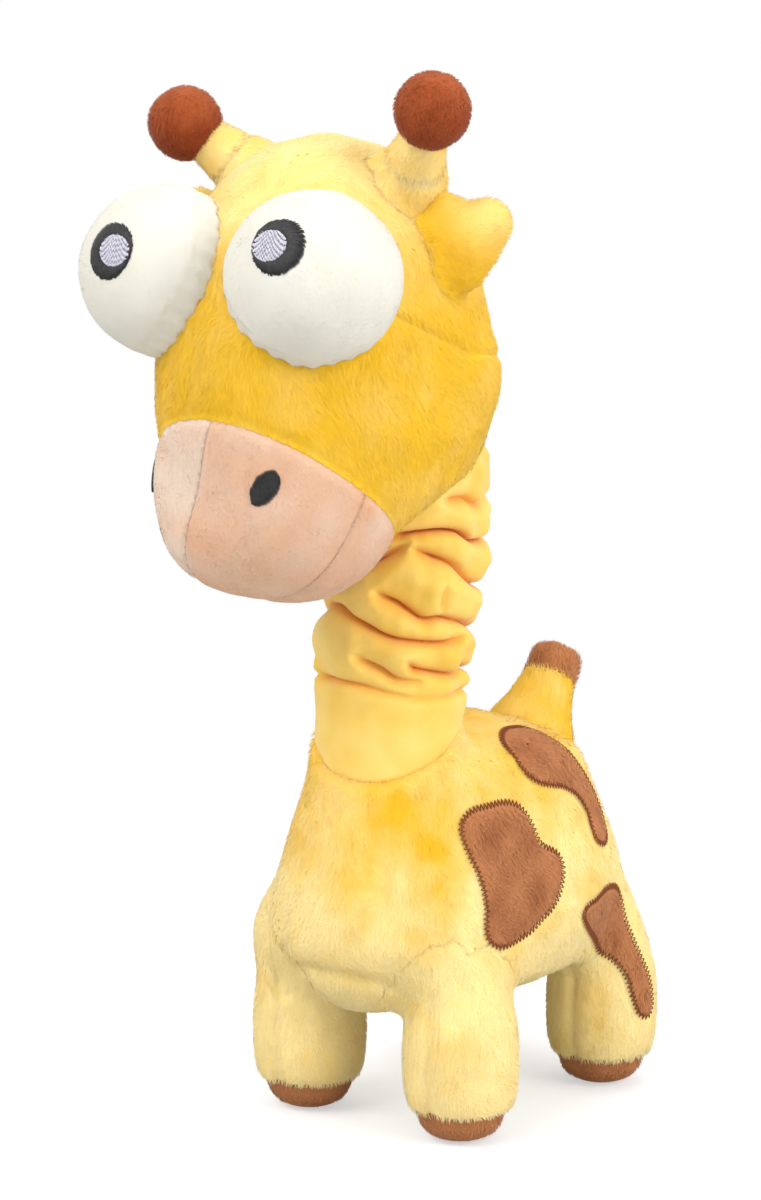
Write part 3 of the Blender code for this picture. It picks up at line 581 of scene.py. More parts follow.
def makeGrainGroup():  # fine noise, as a mask and as a roughened surface
    inputs = {"Scale": "Float", "Strength": "Float", "Distance": "Float"}
    group, given, made = startGroup("fineGrain", inputs, {"Mask": "Float", "Normal": "Vector"})
    given = given.outputs
    place = addNode(group, "TexCoord")
    noise = addNode(group, "TexNoise", {"Vector": place.outputs["Object"], "Scale": given["Scale"], "Detail": 3})
    bump = addNode(group, "Bump", {
        "Height": noise.outputs["Fac"], "Strength": given["Strength"], "Distance": given["Distance"]})
    feed(made, {"Mask": noise.outputs["Fac"], "Normal": bump.outputs["Normal"]})
    return group


pileGroup, grainGroup = makePileGroup(), makeGrainGroup()


# shadedRoots is a painted shade at the foot of the fibres
def pileMaterial(name, thread, shadedRoots, warm, pale, sheen, softness, softReach):
    material, tree, shader = startMaterial(name, {
        "Roughness": 0.85, "Specular IOR Level": 0.15, "Sheen Weight": sheen, "Sheen Roughness": 0.5,
        "Subsurface Radius": (1.0, 0.85, 0.4), "Subsurface Scale": softReach})
    shader.subsurface_method = "BURLEY"
    pileMap = addNode(tree, "UVMap", uv_map="OFBake")
    parts = addNode(tree, "SeparateXYZ", {0: pileMap.outputs[0]}).outputs
    colours = {"Thread": thread, "Shaded Roots": shadedRoots, "Warm Low": warm[0], "Warm Tip": warm[1], "Pale Low": pale[0],
               "Pale Tip": pale[1]}
    inputs = {"Tone": parts["X"], "Height": parts["Y"], **{key: (*colour, 1) for key, colour in colours.items()}}
    pile = addNode(tree, "Group", inputs, node_tree=pileGroup)
    soft = addNode(tree, "MapRange", {
        "Value": parts["Y"], "From Min": 0.20, "From Max": 0.60, "To Min": softness, "To Max": softness * 0.15})
    feed(shader, {"Base Color": pile.outputs["Color"], "Subsurface Weight": soft.outputs[0]})
    return material


def threadMaterial(name, dark, light, roughness):
    material, tree, shader = startMaterial(name, {"Roughness": roughness})
    grain = addNode(tree, "Group", {"Scale": 900, "Strength": 0.3, "Distance": 0.0001}, node_tree=grainGroup)
    colour = addRamp(tree, grain.outputs["Mask"], ((0.35, dark), (0.65, light)))
    feed(shader, {"Base Color": colour, "Normal": grain.outputs["Normal"]})
    return material


materials = {
    "yellow": pileMaterial(
        "yellowPlush", (0.78, 0.38, 0.02), (0.92, 0.58, 0.03),
        ((0.85, 0.53, 0.02), (0.88, 0.57, 0.035)), ((0.97, 0.81, 0.38), (0.99, 0.86, 0.54)), 0.1, 0.75, 0.003),
    "brown": pileMaterial(
        "brownPlush", (0.12, 0.035, 0.012), (0.20, 0.05, 0.012),
        ((0.29, 0.052, 0.013), (0.35, 0.070, 0.018)), ((0.46, 0.11, 0.03), (0.56, 0.16, 0.05)), 0.1, 0.3, 0.0015),
    "spot": pileMaterial(
        "spotPlush", (0.20, 0.055, 0.018), (0.32, 0.11, 0.04),
        ((0.36, 0.12, 0.045), (0.44, 0.16, 0.065)), ((0.55, 0.22, 0.085), (0.68, 0.31, 0.14)), 0.1, 0.3, 0.0015),
    "peach": pileMaterial(
        "peachVelour", (0.42, 0.23, 0.15), (0.74, 0.40, 0.24),
        ((0.78, 0.45, 0.28), (0.82, 0.51, 0.34)), ((0.83, 0.66, 0.53), (0.87, 0.74, 0.65)), 0.1, 0.55, 0.002),
    "eye": pileMaterial(
        "eyeVelour", (0.6, 0.5, 0.3), (0.74, 0.70, 0.60),
        ((0.80, 0.77, 0.67), (0.83, 0.80, 0.71)), ((0.82, 0.80, 0.73), (0.86, 0.84, 0.78)), 0.05, 0.5, 0.0015),
    "blackThread": threadMaterial("blackThread", (0.004, 0.004, 0.004), (0.022, 0.021, 0.021), 0.5),
    "paleThread": threadMaterial("paleThread", (0.62, 0.60, 0.70), (0.80, 0.79, 0.86), 0.55),
    "fibreFill": threadMaterial("fibreFill", (0.72, 0.72, 0.70), (0.86, 0.86, 0.84), 0.95),
    "elasticCord": threadMaterial("elasticCord", (0.66, 0.66, 0.63), (0.82, 0.82, 0.79), 0.7),
    "washerPlastic": threadMaterial("washerPlastic", (0.70, 0.70, 0.69), (0.78, 0.78, 0.77), 0.4),
}
print("materials made")


# Skins cut into parts, and their fur

hem = {"rows": 3, "step": 0.0003, "beyond": 9}  # a part's rim runs this many rows of vertices under its neighbour's


def capHoles(bm):
    rim = [edge for edge in bm.edges if edge.is_boundary]
    caps = bmesh.ops.holes_fill(bm, edges=rim)["faces"]
    bmesh.ops.poke(bm, faces=caps)
    bmesh.ops.recalc_face_normals(bm, faces=bm.faces)


def neighbours(flags, edges):
    grown = flags.copy()
    grown[edges[flags[edges[:, 0]], 1]] = True
    grown[edges[flags[edges[:, 1]], 0]] = True
    return grown


def partByRings(skin, name, inside, edges):
    rings = np.where(inside, 0, hem["beyond"])
    for ring in range(1, hem["rows"] + 1):
        rings[neighbours(rings < hem["beyond"], edges) & (rings == hem["beyond"])] = ring
    part = copyOf(skin, name)
    found = surfaceOf(part)
    moveTo(part, found["co"] - found["normal"] * (rings * hem["step"])[:, None])

    def cut(bm):
        loose = [vertex for vertex, ring in zip(bm.verts, rings) if ring == hem["beyond"]]
        bmesh.ops.delete(bm, geom=loose, context="VERTS")

    editBmesh(part, cut)
    return part


def partByPlanes(skin, name, planes):
    def cut(bm):
        for point, normal in planes:
            geometry = bm.verts[:] + bm.edges[:] + bm.faces[:]
            bmesh.ops.bisect_plane(bm, geom=geometry, plane_co=point, plane_no=normal, clear_inner=True)

    part = copyOf(skin, name)
    editBmesh(part, cut)
    return part


def everywhere(points):
    return np.ones(len(points))


def plainTone(points):
    return 0.5 + 0.13 * ripples(points, 0.030, 8)


def furPart(part, name, pile, seed, share=everywhere, tint=plainTone, whole=None, extras=()):
    surface = surfaceOf(part)
    if whole:
        surface["normal"] = whole["normal"][nearestPlace(placesTree(whole["co"]), surface["co"])]
    density = share(surface["co"])
    shown = surface["tris"][density[surface["tris"]].mean(1) > fibre["shown"]]
    pile = dict(pile, count=int(areasOf(surface["co"], shown).sum() * pile["perArea"]))
    fibres = growPile(surface, pile, density, np.clip(tint(surface["co"]), 0, 1), seed)
    editBmesh(part, capHoles)
    print(name, pile["count"], "fibres")
    skinTone = tint(numbersOf(part.data.vertices, "co", 3))
    return furredMesh(name, part, [fibres, *extras], np.clip(skinTone, 0.02, 0.98))


plushPile = {
    "perArea": 1.75e6, "length": 0.0027, "width": 0.00036, "lean": (66, 83), "lift": 0.05, "wander": 0.30,
    "scatter": 0.22, "tuft": 0.0060, "clumps": 0.04, "gather": 0.12, "mottle": 0.05, "speckle": 0.03,
    "comb": (0.0, 0.30, -1.0),
}
shortPile = dict(
    plushPile, perArea=2.4e6, length=0.0019, width=0.00036, lean=(60, 78), tuft=0.0030, clumps=0.06, gather=0.2,
    lift=0.12, speckle=0.09)
velourPile = dict(
    plushPile, perArea=2.6e6, length=0.0008, width=0.00036, lean=(68, 84), lift=0.06, tuft=0.003, clumps=0.08,
    gather=0.10, mottle=0.025, speckle=0.06)


def softened(piece, rounds, share):
    edges, co = edgesOf(piece), numbersOf(piece.data.vertices, "co", 3)
    ends = np.concatenate([edges, edges[:, ::-1]])
    links = np.bincount(ends[:, 0], minlength=len(co))[:, None]
    weight = share(co)[:, None] * 0.5
    for _ in range(rounds):
        around = np.stack([np.bincount(ends[:, 0], co[ends[:, 1], k], len(co)) for k in range(3)], 1) / links
        co += (around - co) * weight
    moveTo(piece, co)


def smoothPath(points, steps):
    points = np.array(points, float)
    ends = np.vstack([2 * points[0] - points[1], points, 2 * points[-1] - points[-2]])
    found = []
    for a, b, c, d in zip(ends, ends[1:], ends[2:], ends[3:]):
        bend, twist = 2 * a - 5 * b + 4 * c - d, 3 * b - a - 3 * c + d
        for t in np.linspace(0, 1, steps, endpoint=False):
            found.append(0.5 * (2 * b + (c - a) * t + bend * t**2 + twist * t**3))
    return np.array(found + [points[-1]])


def fromLine(points, line):
    gaps = []
    for a, b in zip(np.array(line)[:-1], np.array(line)[1:]):
        share = np.clip((points - a) @ (b - a) / ((b - a) @ (b - a)), 0, 1)
        gaps.append(np.linalg.norm(points - a - share[:, None] * (b - a), axis=1))
    return np.array(gaps).min(0)


def grooved(piece, depthOf):
    found = surfaceOf(piece)
    moveTo(piece, found["co"] - found["normal"] * depthOf(found["co"], found["normal"])[:, None])


def keptOutside(piece, node, gap):
    tree = treeOf(nodes[node])
    co = numbersOf(piece.data.vertices, "co", 3)
    for i, point in enumerate(co):
        near, away, _, far = tree.find_nearest(Vector(point))
        if far < 0.01 and (Vector(point) - near).dot(away) < gap:
            co[i] = near + away * gap
    moveTo(piece, co)
    smoothed(piece, 2)


# Torso, legs, feet and spots

corners = [f"{end}_{side}" for end in ("front", "rear") for side in ("left", "right")]


chest = {
    "axis": (0, -0.0035), "hem": (0, -0.0035, 0.1300), "slope": (0.17, -0.48, 0.86),
    "profile": ((0.050, 0.0), (0.0505, 0.022), (0.0545, 0.033), (0.060, 0.0380), (0.066, 0.0392), (0.074, 0.0378),
                (0.081, 0.0362), (0.090, 0.0340), (0.099, 0.0314), (0.108, 0.0278), (0.116, 0.0256), (0.150, 0.0252),
                (0.1502, 0.0)),
}
bodyBalls = {  # place, radius, scale
    "chestTop": ((0, -0.003, 0.117), 0.0125), "back": ((0, 0.038, 0.1078), 0.0225, (1.1, 1.2, 1)),
    "belly": ((0, -0.010, 0.0560), 0.0185, (1.3, 1.45, 1)), "farShoulder": ((-0.0300, -0.0047, 0.0580), 0.0215),
}
tailRoot = 0.0125
legHem = {  # over the feet: how far round them, how much wider and lower, and between which heights
    "round": 0.024, "wider": 0.11, "wideFrom": 0.040, "wideOver": 0.020, "lower": 0.0032, "lowFrom": 0.028,
    "lowOver": 0.010,
}
bodySeams = {
    "legDepth": 0.0014, "legWidth": 0.0017, "legTop": 0.052, "bellyHeight": 0.0560, "bellyDepth": 0.0016,
    "bellyWidth": 0.0024, "bellySag": 0.004,
}


def bodySkin():
    plugs = [addBall(pivots["tail_flop"], tailRoot), *(addBall(*ball) for ball in bodyBalls.values())]
    body = copiedNodes("body_form", "torso_cover", "torso_stuffing", *("leg_" + corner for corner in corners))
    ring = lathe("chest_form", Vector((*chest["axis"], 0)), Vector((0, 0, 1)), chest["profile"], 72)
    inEditMode(ring, bpy.ops.mesh.bisect, plane_co=chest["hem"], plane_no=chest["slope"], use_fill=True,
               clear_outer=True)
    skin = remeshed(joinPieces("body_form", [body, *plugs, ring]), 0.0018, 12, 0.0012)
    feet = [np.array(sum(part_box("foot_" + corner), Vector()) / 2) for corner in corners]
    co = numbersOf(skin.data.vertices, "co", 3)
    for foot in feet:
        gap = co[:, :2] - foot[:2]
        ours = (np.abs(gap).max(1) < legHem["round"]) & (co[:, 2] < legHem["wideFrom"])
        grown = 1 + legHem["wider"] * np.clip((legHem["wideFrom"] - co[ours, 2]) / legHem["wideOver"], 0, 1)
        co[ours, :2] = foot[:2] + gap[ours] * grown[:, None]
        co[ours, 2] -= legHem["lower"] * np.clip((legHem["lowFrom"] - co[ours, 2]) / legHem["lowOver"], 0, 1)
    moveTo(skin, co)

    def seams(points, normals):
        depth = np.zeros(len(points))
        tall = np.clip((bodySeams["legTop"] - points[:, 2]) / 0.008, 0, 1)
        for foot in feet:
            across, along = np.abs(points[:, 0] - foot[0]), np.abs(points[:, 1] - foot[1])
            ahead = (along > 0.006) & (along < 0.03)
            line = bodySeams["legDepth"] * ahead * tall * np.exp(-(across / bodySeams["legWidth"]) ** 2)
            depth = np.maximum(depth, line)
        belly = (normals[:, 1] < -0.1) & (points[:, 1] < -0.02)
        across = np.abs(points[:, 0])
        height = bodySeams["bellyHeight"] - (across / 0.02) ** 2 * bodySeams["bellySag"]
        fade = np.clip((0.022 - across) / 0.006, 0, 1)
        crease = np.exp(-((points[:, 2] - height) / bodySeams["bellyWidth"]) ** 2)
        return depth + belly * fade * bodySeams["bellyDepth"] * crease

    softened(skin, 70, lambda points: np.interp(points[:, 2], (0.040, 0.052, 0.092, 0.106), (0, 1, 1, 0.12)))
    grooved(skin, seams)
    keptOutside(skin, "torso_stuffing", 0.0008)
    return skin


yellowLightShadeAndMottle = {  # tones go from 0, warm, to 1, pale; they hold painted light and shade besides random mottle
    # by height: deeper up the torso towards the neck and deepest on the lower hood up to the eyes, as painted shade;
    # pale on the brow and dome, as painted light; pale on the legs
    "heights": (0.0, 0.045, 0.075, 0.095, 0.110, 0.135, 0.21, 0.240, 0.266, 0.280, 0.295, 0.31, 0.34),
    "tones": (1.0, 1.0, 0.82, 0.62, 0.48, 0.36, 0.10, 0.06, 0.06, 0.26, 0.70, 0.85, 0.75),
    "clouds": ((0.12, 0.026, 8, 14), (0.07, 0.009, 18, 40)),  # strength, size, seed, waves
    "calm": ((0.20, 0.21, 0.28, 0.29), (1, 0.35, 0.35, 0.8)),  # how strong the clouds are at these heights
    "shadeAndLightPatches": (  # strength, middle, size; the two deeper patches are painted shade on the chest under the neck, the paler one is painted light on the right flank
        (-0.38, (0.026, -0.030, 0.096), (0.020, 0.026, 0.018)),
        (-0.18, (-0.006, -0.036, 0.094), (0.016, 0.02, 0.012)),
        (0.25, (-0.035, 0, 0.085), (0.016, np.inf, 0.03)),
    ),
}


def yellowTone(points):
    height = points[:, 2]
    cloud = sum(strength * ripples(points, *cloud) for strength, *cloud in yellowLightShadeAndMottle["clouds"])
    cloud = cloud * np.interp(height, *yellowLightShadeAndMottle["calm"])
    tone = np.interp(height, yellowLightShadeAndMottle["heights"], yellowLightShadeAndMottle["tones"]) + cloud
    for strength, centre, size in yellowLightShadeAndMottle["shadeAndLightPatches"]:
        tone = tone + strength * hump(points, centre, size)
    return tone


def makeBody(skin, spotTrees):
    names = ["torso_cover", *("leg_" + corner for corner in corners)]
    whole, edges = surfaceOf(skin), edgesOf(skin)
    height = whole["co"][:, 2]
    gaps = np.stack([distances(treeOf(nodes[name]), whole["co"], 0.05) for name in names])
    gaps[1:, height > 0.070] = 1
    label = gaps.argmin(0)
    for i in range(1, len(names)):  # a leg is what hangs together from its foot up
        found, size = (label == i) & (height < 0.020), 0
        while found.sum() > size:
            size = found.sum()
            found = neighbours(found, edges) & (label == i)
        label[(label == i) & ~found] = 0
    tree = placesTree(whole["co"])
    for i, name in enumerate(names):
        part = partByRings(skin, name + "_plush", label == i, edges)

        def density(points):
            near = np.stack([distances(spotTree, points, 0.006) for spotTree in spotTrees]).min(0)
            return np.clip((near - 0.0010) / 0.0010, 0.0, 1) * (label[nearestPlace(tree, points)] == i)

        piece = furPart(part, name + "_plush", plushPile, 20 + i, share=density, tint=yellowTone, whole=whole)
        dressPiece(piece, materials["yellow"], [name], "torso")


def lathe(name, base, axis, profile, steps=40):
    curve = [profile[0]]
    for before, after in zip(profile, profile[1:]):
        curve += [tuple(a + (b - a) * k / 4 for a, b in zip(before, after)) for k in range(1, 5)]
    links = [(i, i + 1) for i in range(len(curve) - 1)]
    piece = pieceOf(name, [(radius, 0, height) for height, radius in curve], links, [])
    applyModifier(piece, "SCREW", steps=steps, render_steps=steps, use_merge_vertices=True, merge_threshold=0.00005)
    turn = Vector(axis).to_track_quat("Z", "Y").to_matrix().to_4x4()
    piece.data.transform(Matrix.Translation(base) @ turn)

    def close(bm):
        bmesh.ops.remove_doubles(bm, verts=bm.verts, dist=0.00002)
        bmesh.ops.recalc_face_normals(bm, faces=bm.faces)

    editBmesh(piece, close)
    smoothed(piece, 5)
    return piece


footProfile = (  # height, radius
    (0.0004, 0.0), (0.0004, 0.0058), (0.0012, 0.0084), (0.0030, 0.0110), (0.0058, 0.0130), (0.0092, 0.0140),
    (0.0135, 0.0140), (0.0150, 0.0120), (0.0155, 0.0),
)


def makeFeet():
    for corner in corners:
        name = "foot_" + corner
        low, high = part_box(name)
        base = Vector(((low.x + high.x) / 2, (low.y + high.y) / 2, 0))
        foot = lathe(name + "_plush", base, (0, 0, 1), footProfile, 56)
        piece = furPart(
            foot, name + "_plush", dict(shortPile, comb=(0, 0, -1), length=0.0016), 40,
            share=lambda points: np.clip((points[:, 2] - 0.0020) / 0.001, 0, 1),
            tint=lambda points: 0.92 + 0.12 * ripples(points, 0.012, 4))
        dressPiece(piece, materials["spot"], [name], "torso")


spot = {
    "tones": {"flank": 0.64, "back": 0.80, "hip": 1.0}, "above": 0.006, "reach": 0.0075, "lift": 0.0006,
    "tuckDepth": 0.0012, "rimDrop": 0.0006, "rimWidth": 0.0016, "rimStep": 0.00078,
}
spotStitch = {"inward": 0.0012, "outward": 0.0012, "width": 0.00034, "height": 0.00045, "steps": 6, "least": 0.0008}


def spotOutline(partTree, part, skin):  # the line where the spot's edge meets the skin, in an even number of steps
    above, reach = spot["above"], spot["reach"]
    box = np.array(part.bound_box)
    close = ((skin["co"] > box.min(0) - above) & (skin["co"] < box.max(0) + above)).all(1)
    under = {}
    for i in np.flatnonzero(close):
        co, way = Vector(skin["co"][i]), Vector(skin["normal"][i])
        under[i] = hits(partTree, co + way * above, -way, reach)
    crossing, links = {}, {}
    for tri in skin["tris"]:
        if not all(int(i) in under for i in tri):
            continue
        cuts = []
        for a, b in ((tri[0], tri[1]), (tri[1], tri[2]), (tri[2], tri[0])):
            a, b = int(min(a, b)), int(max(a, b))
            if under[a] == under[b]:
                continue
            cuts.append((a, b))
            if (a, b) in crossing:
                continue
            inner, outer = (a, b) if under[a] else (b, a)
            ends = [skin["co"][inner], skin["co"][outer]]
            ways = [skin["normal"][inner], skin["normal"][outer]]
            for _ in range(6):
                middle, way = (ends[0] + ends[1]) / 2, (ways[0] + ways[1]) / 2
                side = 0 if hits(partTree, middle + way * above, -way, reach) else 1
                ends[side], ways[side] = middle, way
            crossing[(a, b)] = (ends[0] + ends[1]) / 2
        if len(cuts) == 2:
            links.setdefault(cuts[0], []).append(cuts[1])
            links.setdefault(cuts[1], []).append(cuts[0])
    loops = []
    while links:
        loop = [next(iter(links))]
        ahead = links.pop(loop[0])
        while ahead:
            step = [key for key in ahead if key in links]
            if not step:
                break
            loop.append(step[0])
            ahead = links.pop(step[0])
        loops.append([crossing[key] for key in loop])
    rim = np.array(max(loops, key=len))
    rim = np.vstack([rim, rim[:1]])
    ends = np.concatenate([[0], np.cumsum(np.linalg.norm(np.diff(rim, axis=0), axis=1))])
    places = np.linspace(0, ends[-1], int(ends[-1] / spot["rimStep"]) // 2 * 2, endpoint=False)
    rim = np.stack([np.interp(places, ends, rim[:, i]) for i in range(3)], 1)
    for _ in range(8):
        rim = (np.roll(rim, 1, 0) + 2 * rim + np.roll(rim, -1, 0)) / 4
    return rim


def spotForm(name, skinTree):  # the spot's solid, laid on the plush under it
    part = copiedNodes(name + "_plush", name)
    applyModifier(part, "REMESH", mode="VOXEL", voxel_size=0.0006)
    editBmesh(part, keepLargest)
    smoothed(part, 5)
    partTree = treeOf(part)
    place = surfaceOf(part)["co"]
    for i, co in enumerate(place):
        foot, way, _, _ = skinTree.find_nearest(Vector(co))
        under = hits(partTree, Vector(co) + way * 0.0004, way, 0.01)
        place[i] = foot + way * (-spot["tuckDepth"] if under else spotStitch["height"] + spot["lift"])
    moveTo(part, place)
    smoothed(part, 4)
    return part


def spotStitches(rim, skinTree, partTree):  # a zigzag over the rim
    normal = np.array([skinTree.find_nearest(Vector(co))[1] for co in rim])
    along = unit(np.roll(rim, -1, 0) - np.roll(rim, 1, 0))
    across = np.cross(along, normal)
    inside = [hits(partTree, a + n * 0.005, -n, 0.0047) for a, n in zip(rim + across * 0.002, normal)]
    if np.mean(inside) < 0.5:
        across = -across
    inner, outer = rim + across * spotStitch["inward"], rim - across * spotStitch["outward"]
    ends = [inner[0::2], outer[1::2], np.roll(inner[0::2], -1, 0)]
    strands = np.concatenate([np.stack([a + (b - a) * t for t in np.linspace(0, 1, spotStitch["steps"])], 1)
                              for a, b in ((ends[0], ends[1]), (ends[1], ends[2]))])
    lifts = np.zeros_like(strands)
    for i, row in enumerate(strands):
        for j, co in enumerate(row):
            foot, way, _, _ = skinTree.find_nearest(Vector(co))
            hit = partTree.ray_cast(foot + way * 0.006, -way, 0.0058)[0]
            top = (Vector(hit) - foot).dot(way) if hit is not None else 0.0
            strands[i, j] = foot + way * max(top, spotStitch["least"])
            lifts[i, j] = way
    return threadPile(strands, lifts, spotStitch["width"], spotStitch["height"])


def makeSpots(skinTree, skin):
    spotTrees = []
    for place, basic in spot["tones"].items():
        for side in ("left", "right"):
            name = f"spot_{place}_{side}"
            part = spotForm(name, skinTree)
            rim = spotOutline(treeOf(part), part, skin)
            rim = np.array([skinTree.find_nearest(Vector(co))[0] for co in rim])
            rimTree = placesTree(rim)
            grooved(part, lambda points, normals: spot["rimDrop"] * np.exp(
                -(nearestGap(rimTree, points) / spot["rimWidth"]) ** 2))
            partTree = treeOf(part)
            spotTrees.append(partTree)
            stitches = spotStitches(rim, skinTree, partTree)

            def dense(points):
                return np.clip((nearestGap(rimTree, points) - 0.0009) / 0.0008, 0, 1)

            def spotTone(points):
                rimGap = nearestGap(rimTree, points)
                return basic + 0.20 * ripples(points, 0.016, 41) + 0.22 * np.exp(-(rimGap / 0.004) ** 2)

            piece = furPart(part, name + "_plush", dict(shortPile, perArea=2.0e6), 50, share=dense, tint=spotTone,
                            extras=[stitches])
            dressPiece(piece, materials["spot"], [name], "torso")
    return spotTrees


bodyForm = bodySkin()
spotTrees = makeSpots(treeOf(bodyForm), surfaceOf(bodyForm))
makeBody(bodyForm, spotTrees)
makeFeet()
print("torso, legs, feet and spots made")


# Head: its form, and the planes that cut the hood and the muzzle's panels from it

headHalf = {"length": 0.05725, "height": 0.072}
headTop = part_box("head_cover")[1]
headCentre = Vector((0, headTop.y - headHalf["length"], headTop.z - headHalf["height"]))
seamPoint = np.array(headCentre) + (0, -headHalf["length"], -0.0108)
seamUp = np.array((0.03, sin(radians(38)), cos(radians(38))))
noseSeam = np.array((cos(radians(21)), 0, -sin(radians(21))))
chinPoint = np.array(headCentre) + (0, -headHalf["length"] * 0.64, -headHalf["height"] * 0.185)
chinFoot, chinBack = chinPoint + (0.0345, 0.0078, -0.0222), np.array((0.30, 0.908, -0.29))
headBalls = {
    "horn": 0.0108, "ear": 0.0073, "neck": 0.0116,
    "form": (((-0.0192, headCentre.y + 0.0144, 0.2450), 0.0310), ((0.0192, headCentre.y + 0.0144, 0.2450), 0.0310),
             ((-0.0117, -0.0635, 0.2030), 0.0240), ((-0.0182, -0.0644, 0.2130), 0.0205)),
}
headSeam = np.array(  # down the side of the hood, from the eye to the back
    ((0.0415, -0.0600, 0.2680), (0.0491, -0.0399, 0.2596), (0.0530, -0.0240, 0.2550), (0.0458, 0.0120, 0.2510)))
headGrooves = {  # width, depth
    "hem": (0.0016, 0.0008), "side": (0.0015, 0.0012), "nose": (0.0011, 0.0006), "chin": (0.0012, 0.0008),
}
headInset = {"hood": 0.0012, "muzzle": -0.0003, "puff": 0.0006, "puffFrom": 0.009}
eyeShape = {
    "width": 0.0572, "depth": 0.049, "height": 0.0535, "out": {"left": 0.0010, "right": 0.0030}, "inset": 0.0007,
    "waves": 0.00018, "gathers": 26, "gatherDepth": 0.0005, "gatherHeight": 0.007, "gatherInset": 0.0004,
    "sunk": 0.002,
}
eyeHalf = np.array((eyeShape["width"], eyeShape["depth"], eyeShape["height"])) / 2


def eyeCentre(side):
    low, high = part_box(f"eye_{side}")
    half, out = eyeShape["width"] / 2, eyeShape["out"][side]
    across = high.x + out - half if side == "left" else low.x - out + half
    return Vector((across, low.y + eyeShape["depth"] / 2, high.z - eyeShape["height"] / 2))


def insideEyes(points, grow):
    found = np.zeros(len(points), bool)
    for side in ("left", "right"):
        found |= (((points - np.array(eyeCentre(side))) / (eyeHalf + grow)) ** 2).sum(1) < 1
    return found


def headGroove(gap, kind):
    width, depth = headGrooves[kind]
    return np.exp(-(gap / width) ** 2) * depth


def headSkin():
    plugs = [addBall(pivots[f"{kind}_{side}_flop"], headBalls[kind]) for kind in ("horn", "ear")
             for side in ("left", "right")]
    plugs.append(addBall(pivots["head_nod"], headBalls["neck"]))
    plugs += [addBall(*ball) for ball in headBalls["form"]]
    names = ("head_cover", "head_stuffing", "muzzle_cheek_left", "muzzle_cheek_right", "muzzle_chin")
    skin = remeshed(joinPieces("head_form", [copiedNodes("head_form", *names), *plugs]), 0.0013, 22)
    softened(skin, 90, lambda points: np.clip(0.5 - ((points - seamPoint) @ seamUp) / 0.006, 0, 1))
    found = surfaceOf(skin)
    co, normal = found["co"], found["normal"]
    fromSeam = (co - seamPoint) @ seamUp
    muzzle = 1 / (1 + np.exp(fromSeam / 0.0006))
    depth = headInset["hood"] + (headInset["muzzle"] - headInset["hood"]) * muzzle
    groove = headGroove(fromSeam, "hem")
    skinTree = treeOf(skin)
    for sign in (1, -1):
        line = smoothPath(headSeam * (sign, 1, 1), 10)
        line = [np.array(skinTree.find_nearest(Vector(point))[0]) for point in line]
        groove += headGroove(fromLine(co, line), "side")
    ahead = (co - chinFoot) @ chinBack < 0
    nose = np.abs((co - chinPoint) @ noseSeam)
    chin = np.abs((co - chinFoot) @ chinBack)
    groove += muzzle * (headGroove(nose, "nose") * ahead + headGroove(chin, "chin"))
    fromSeams = np.minimum(np.minimum(nose, chin), -fromSeam)
    puff = muzzle * headInset["puff"] * (1 - np.exp(-(fromSeams / headInset["puffFrom"]) ** 2))
    moveTo(skin, co - normal * (depth + groove - puff)[:, None])
    return skin


muzzle = {
    "tone": 0.28, "paintedLightRightCheek": 0.60, "clouds": (0.10, 0.02, 9),
    "pile": {"comb": (0.2, 0.3, -1), "speckle": 0.10, "mottle": 0.09, "clumps": 0.05},
    "panels": {
        "cheek_left": [(chinPoint, noseSeam), (chinFoot, -chinBack)],
        "cheek_right": [(chinPoint, -noseSeam), (chinFoot, -chinBack)],
        "chin": [(chinFoot, chinBack)],
    },
}


def makeHead():
    skin = headSkin()
    whole = surfaceOf(skin)

    def hoodShare(points):
        share = np.clip(0.45 + ((points - seamPoint) @ seamUp) / 0.007, 0.4, 1)
        share[insideEyes(points, -0.0028)] = 0
        return share

    hood = partByPlanes(skin, "hood_plush", [(seamPoint, seamUp)])
    piece = furPart(hood, "hood_plush", dict(plushPile, comb=(-0.15, 0.5, -1)), 60,
                    share=hoodShare, tint=yellowTone, whole=whole)
    dressPiece(piece, materials["yellow"], ["head_cover"], "head")
    for i, (panel, planes) in enumerate(muzzle["panels"].items()):
        name = f"muzzle_{panel}"
        part = partByPlanes(skin, name + "_velour", [(seamPoint, -seamUp), *planes])

        def muzzleTint(points):
            strength, *cloud = muzzle["clouds"]
            paler = muzzle["tone"] + strength * ripples(points, *cloud)
            # the right cheek is paler: painted light, where its nap catches the light
            return paler + (muzzle["paintedLightRightCheek"] if panel == "cheek_right" else 0.0)

        piece = furPart(part, name + "_velour", {**velourPile, **muzzle["pile"]}, 70 + i,
                        tint=muzzleTint, whole=whole)
        dressPiece(piece, materials["peach"], [name], "head")
    return skin


pupil = {
    "width": 0.0176, "height": 0.0170, "roll": 24, "light": (0.0114, 0.0096), "shift": 0.0025, "clear": 0.0072,
    "lift": {"left": 0.0020, "right": -0.0016}, "aside": {"left": 0.0, "right": -0.0013}, "pitch": 0.00042,
    "uneven": 0.035, "overlap": 0.88, "thread": (0.00062, 0.00075),
}
highlight = {"row": 0.00052, "stitch": 0.0016, "gap": 0.00008, "lift": 0.0002, "thread": (0.00058, 0.00072)}
nostril = {
    "width": 0.0078, "height": 0.0126, "roll": 42, "pitch": 0.00042, "slant": 0.0004, "thread": (0.00058, 0.00085),
}


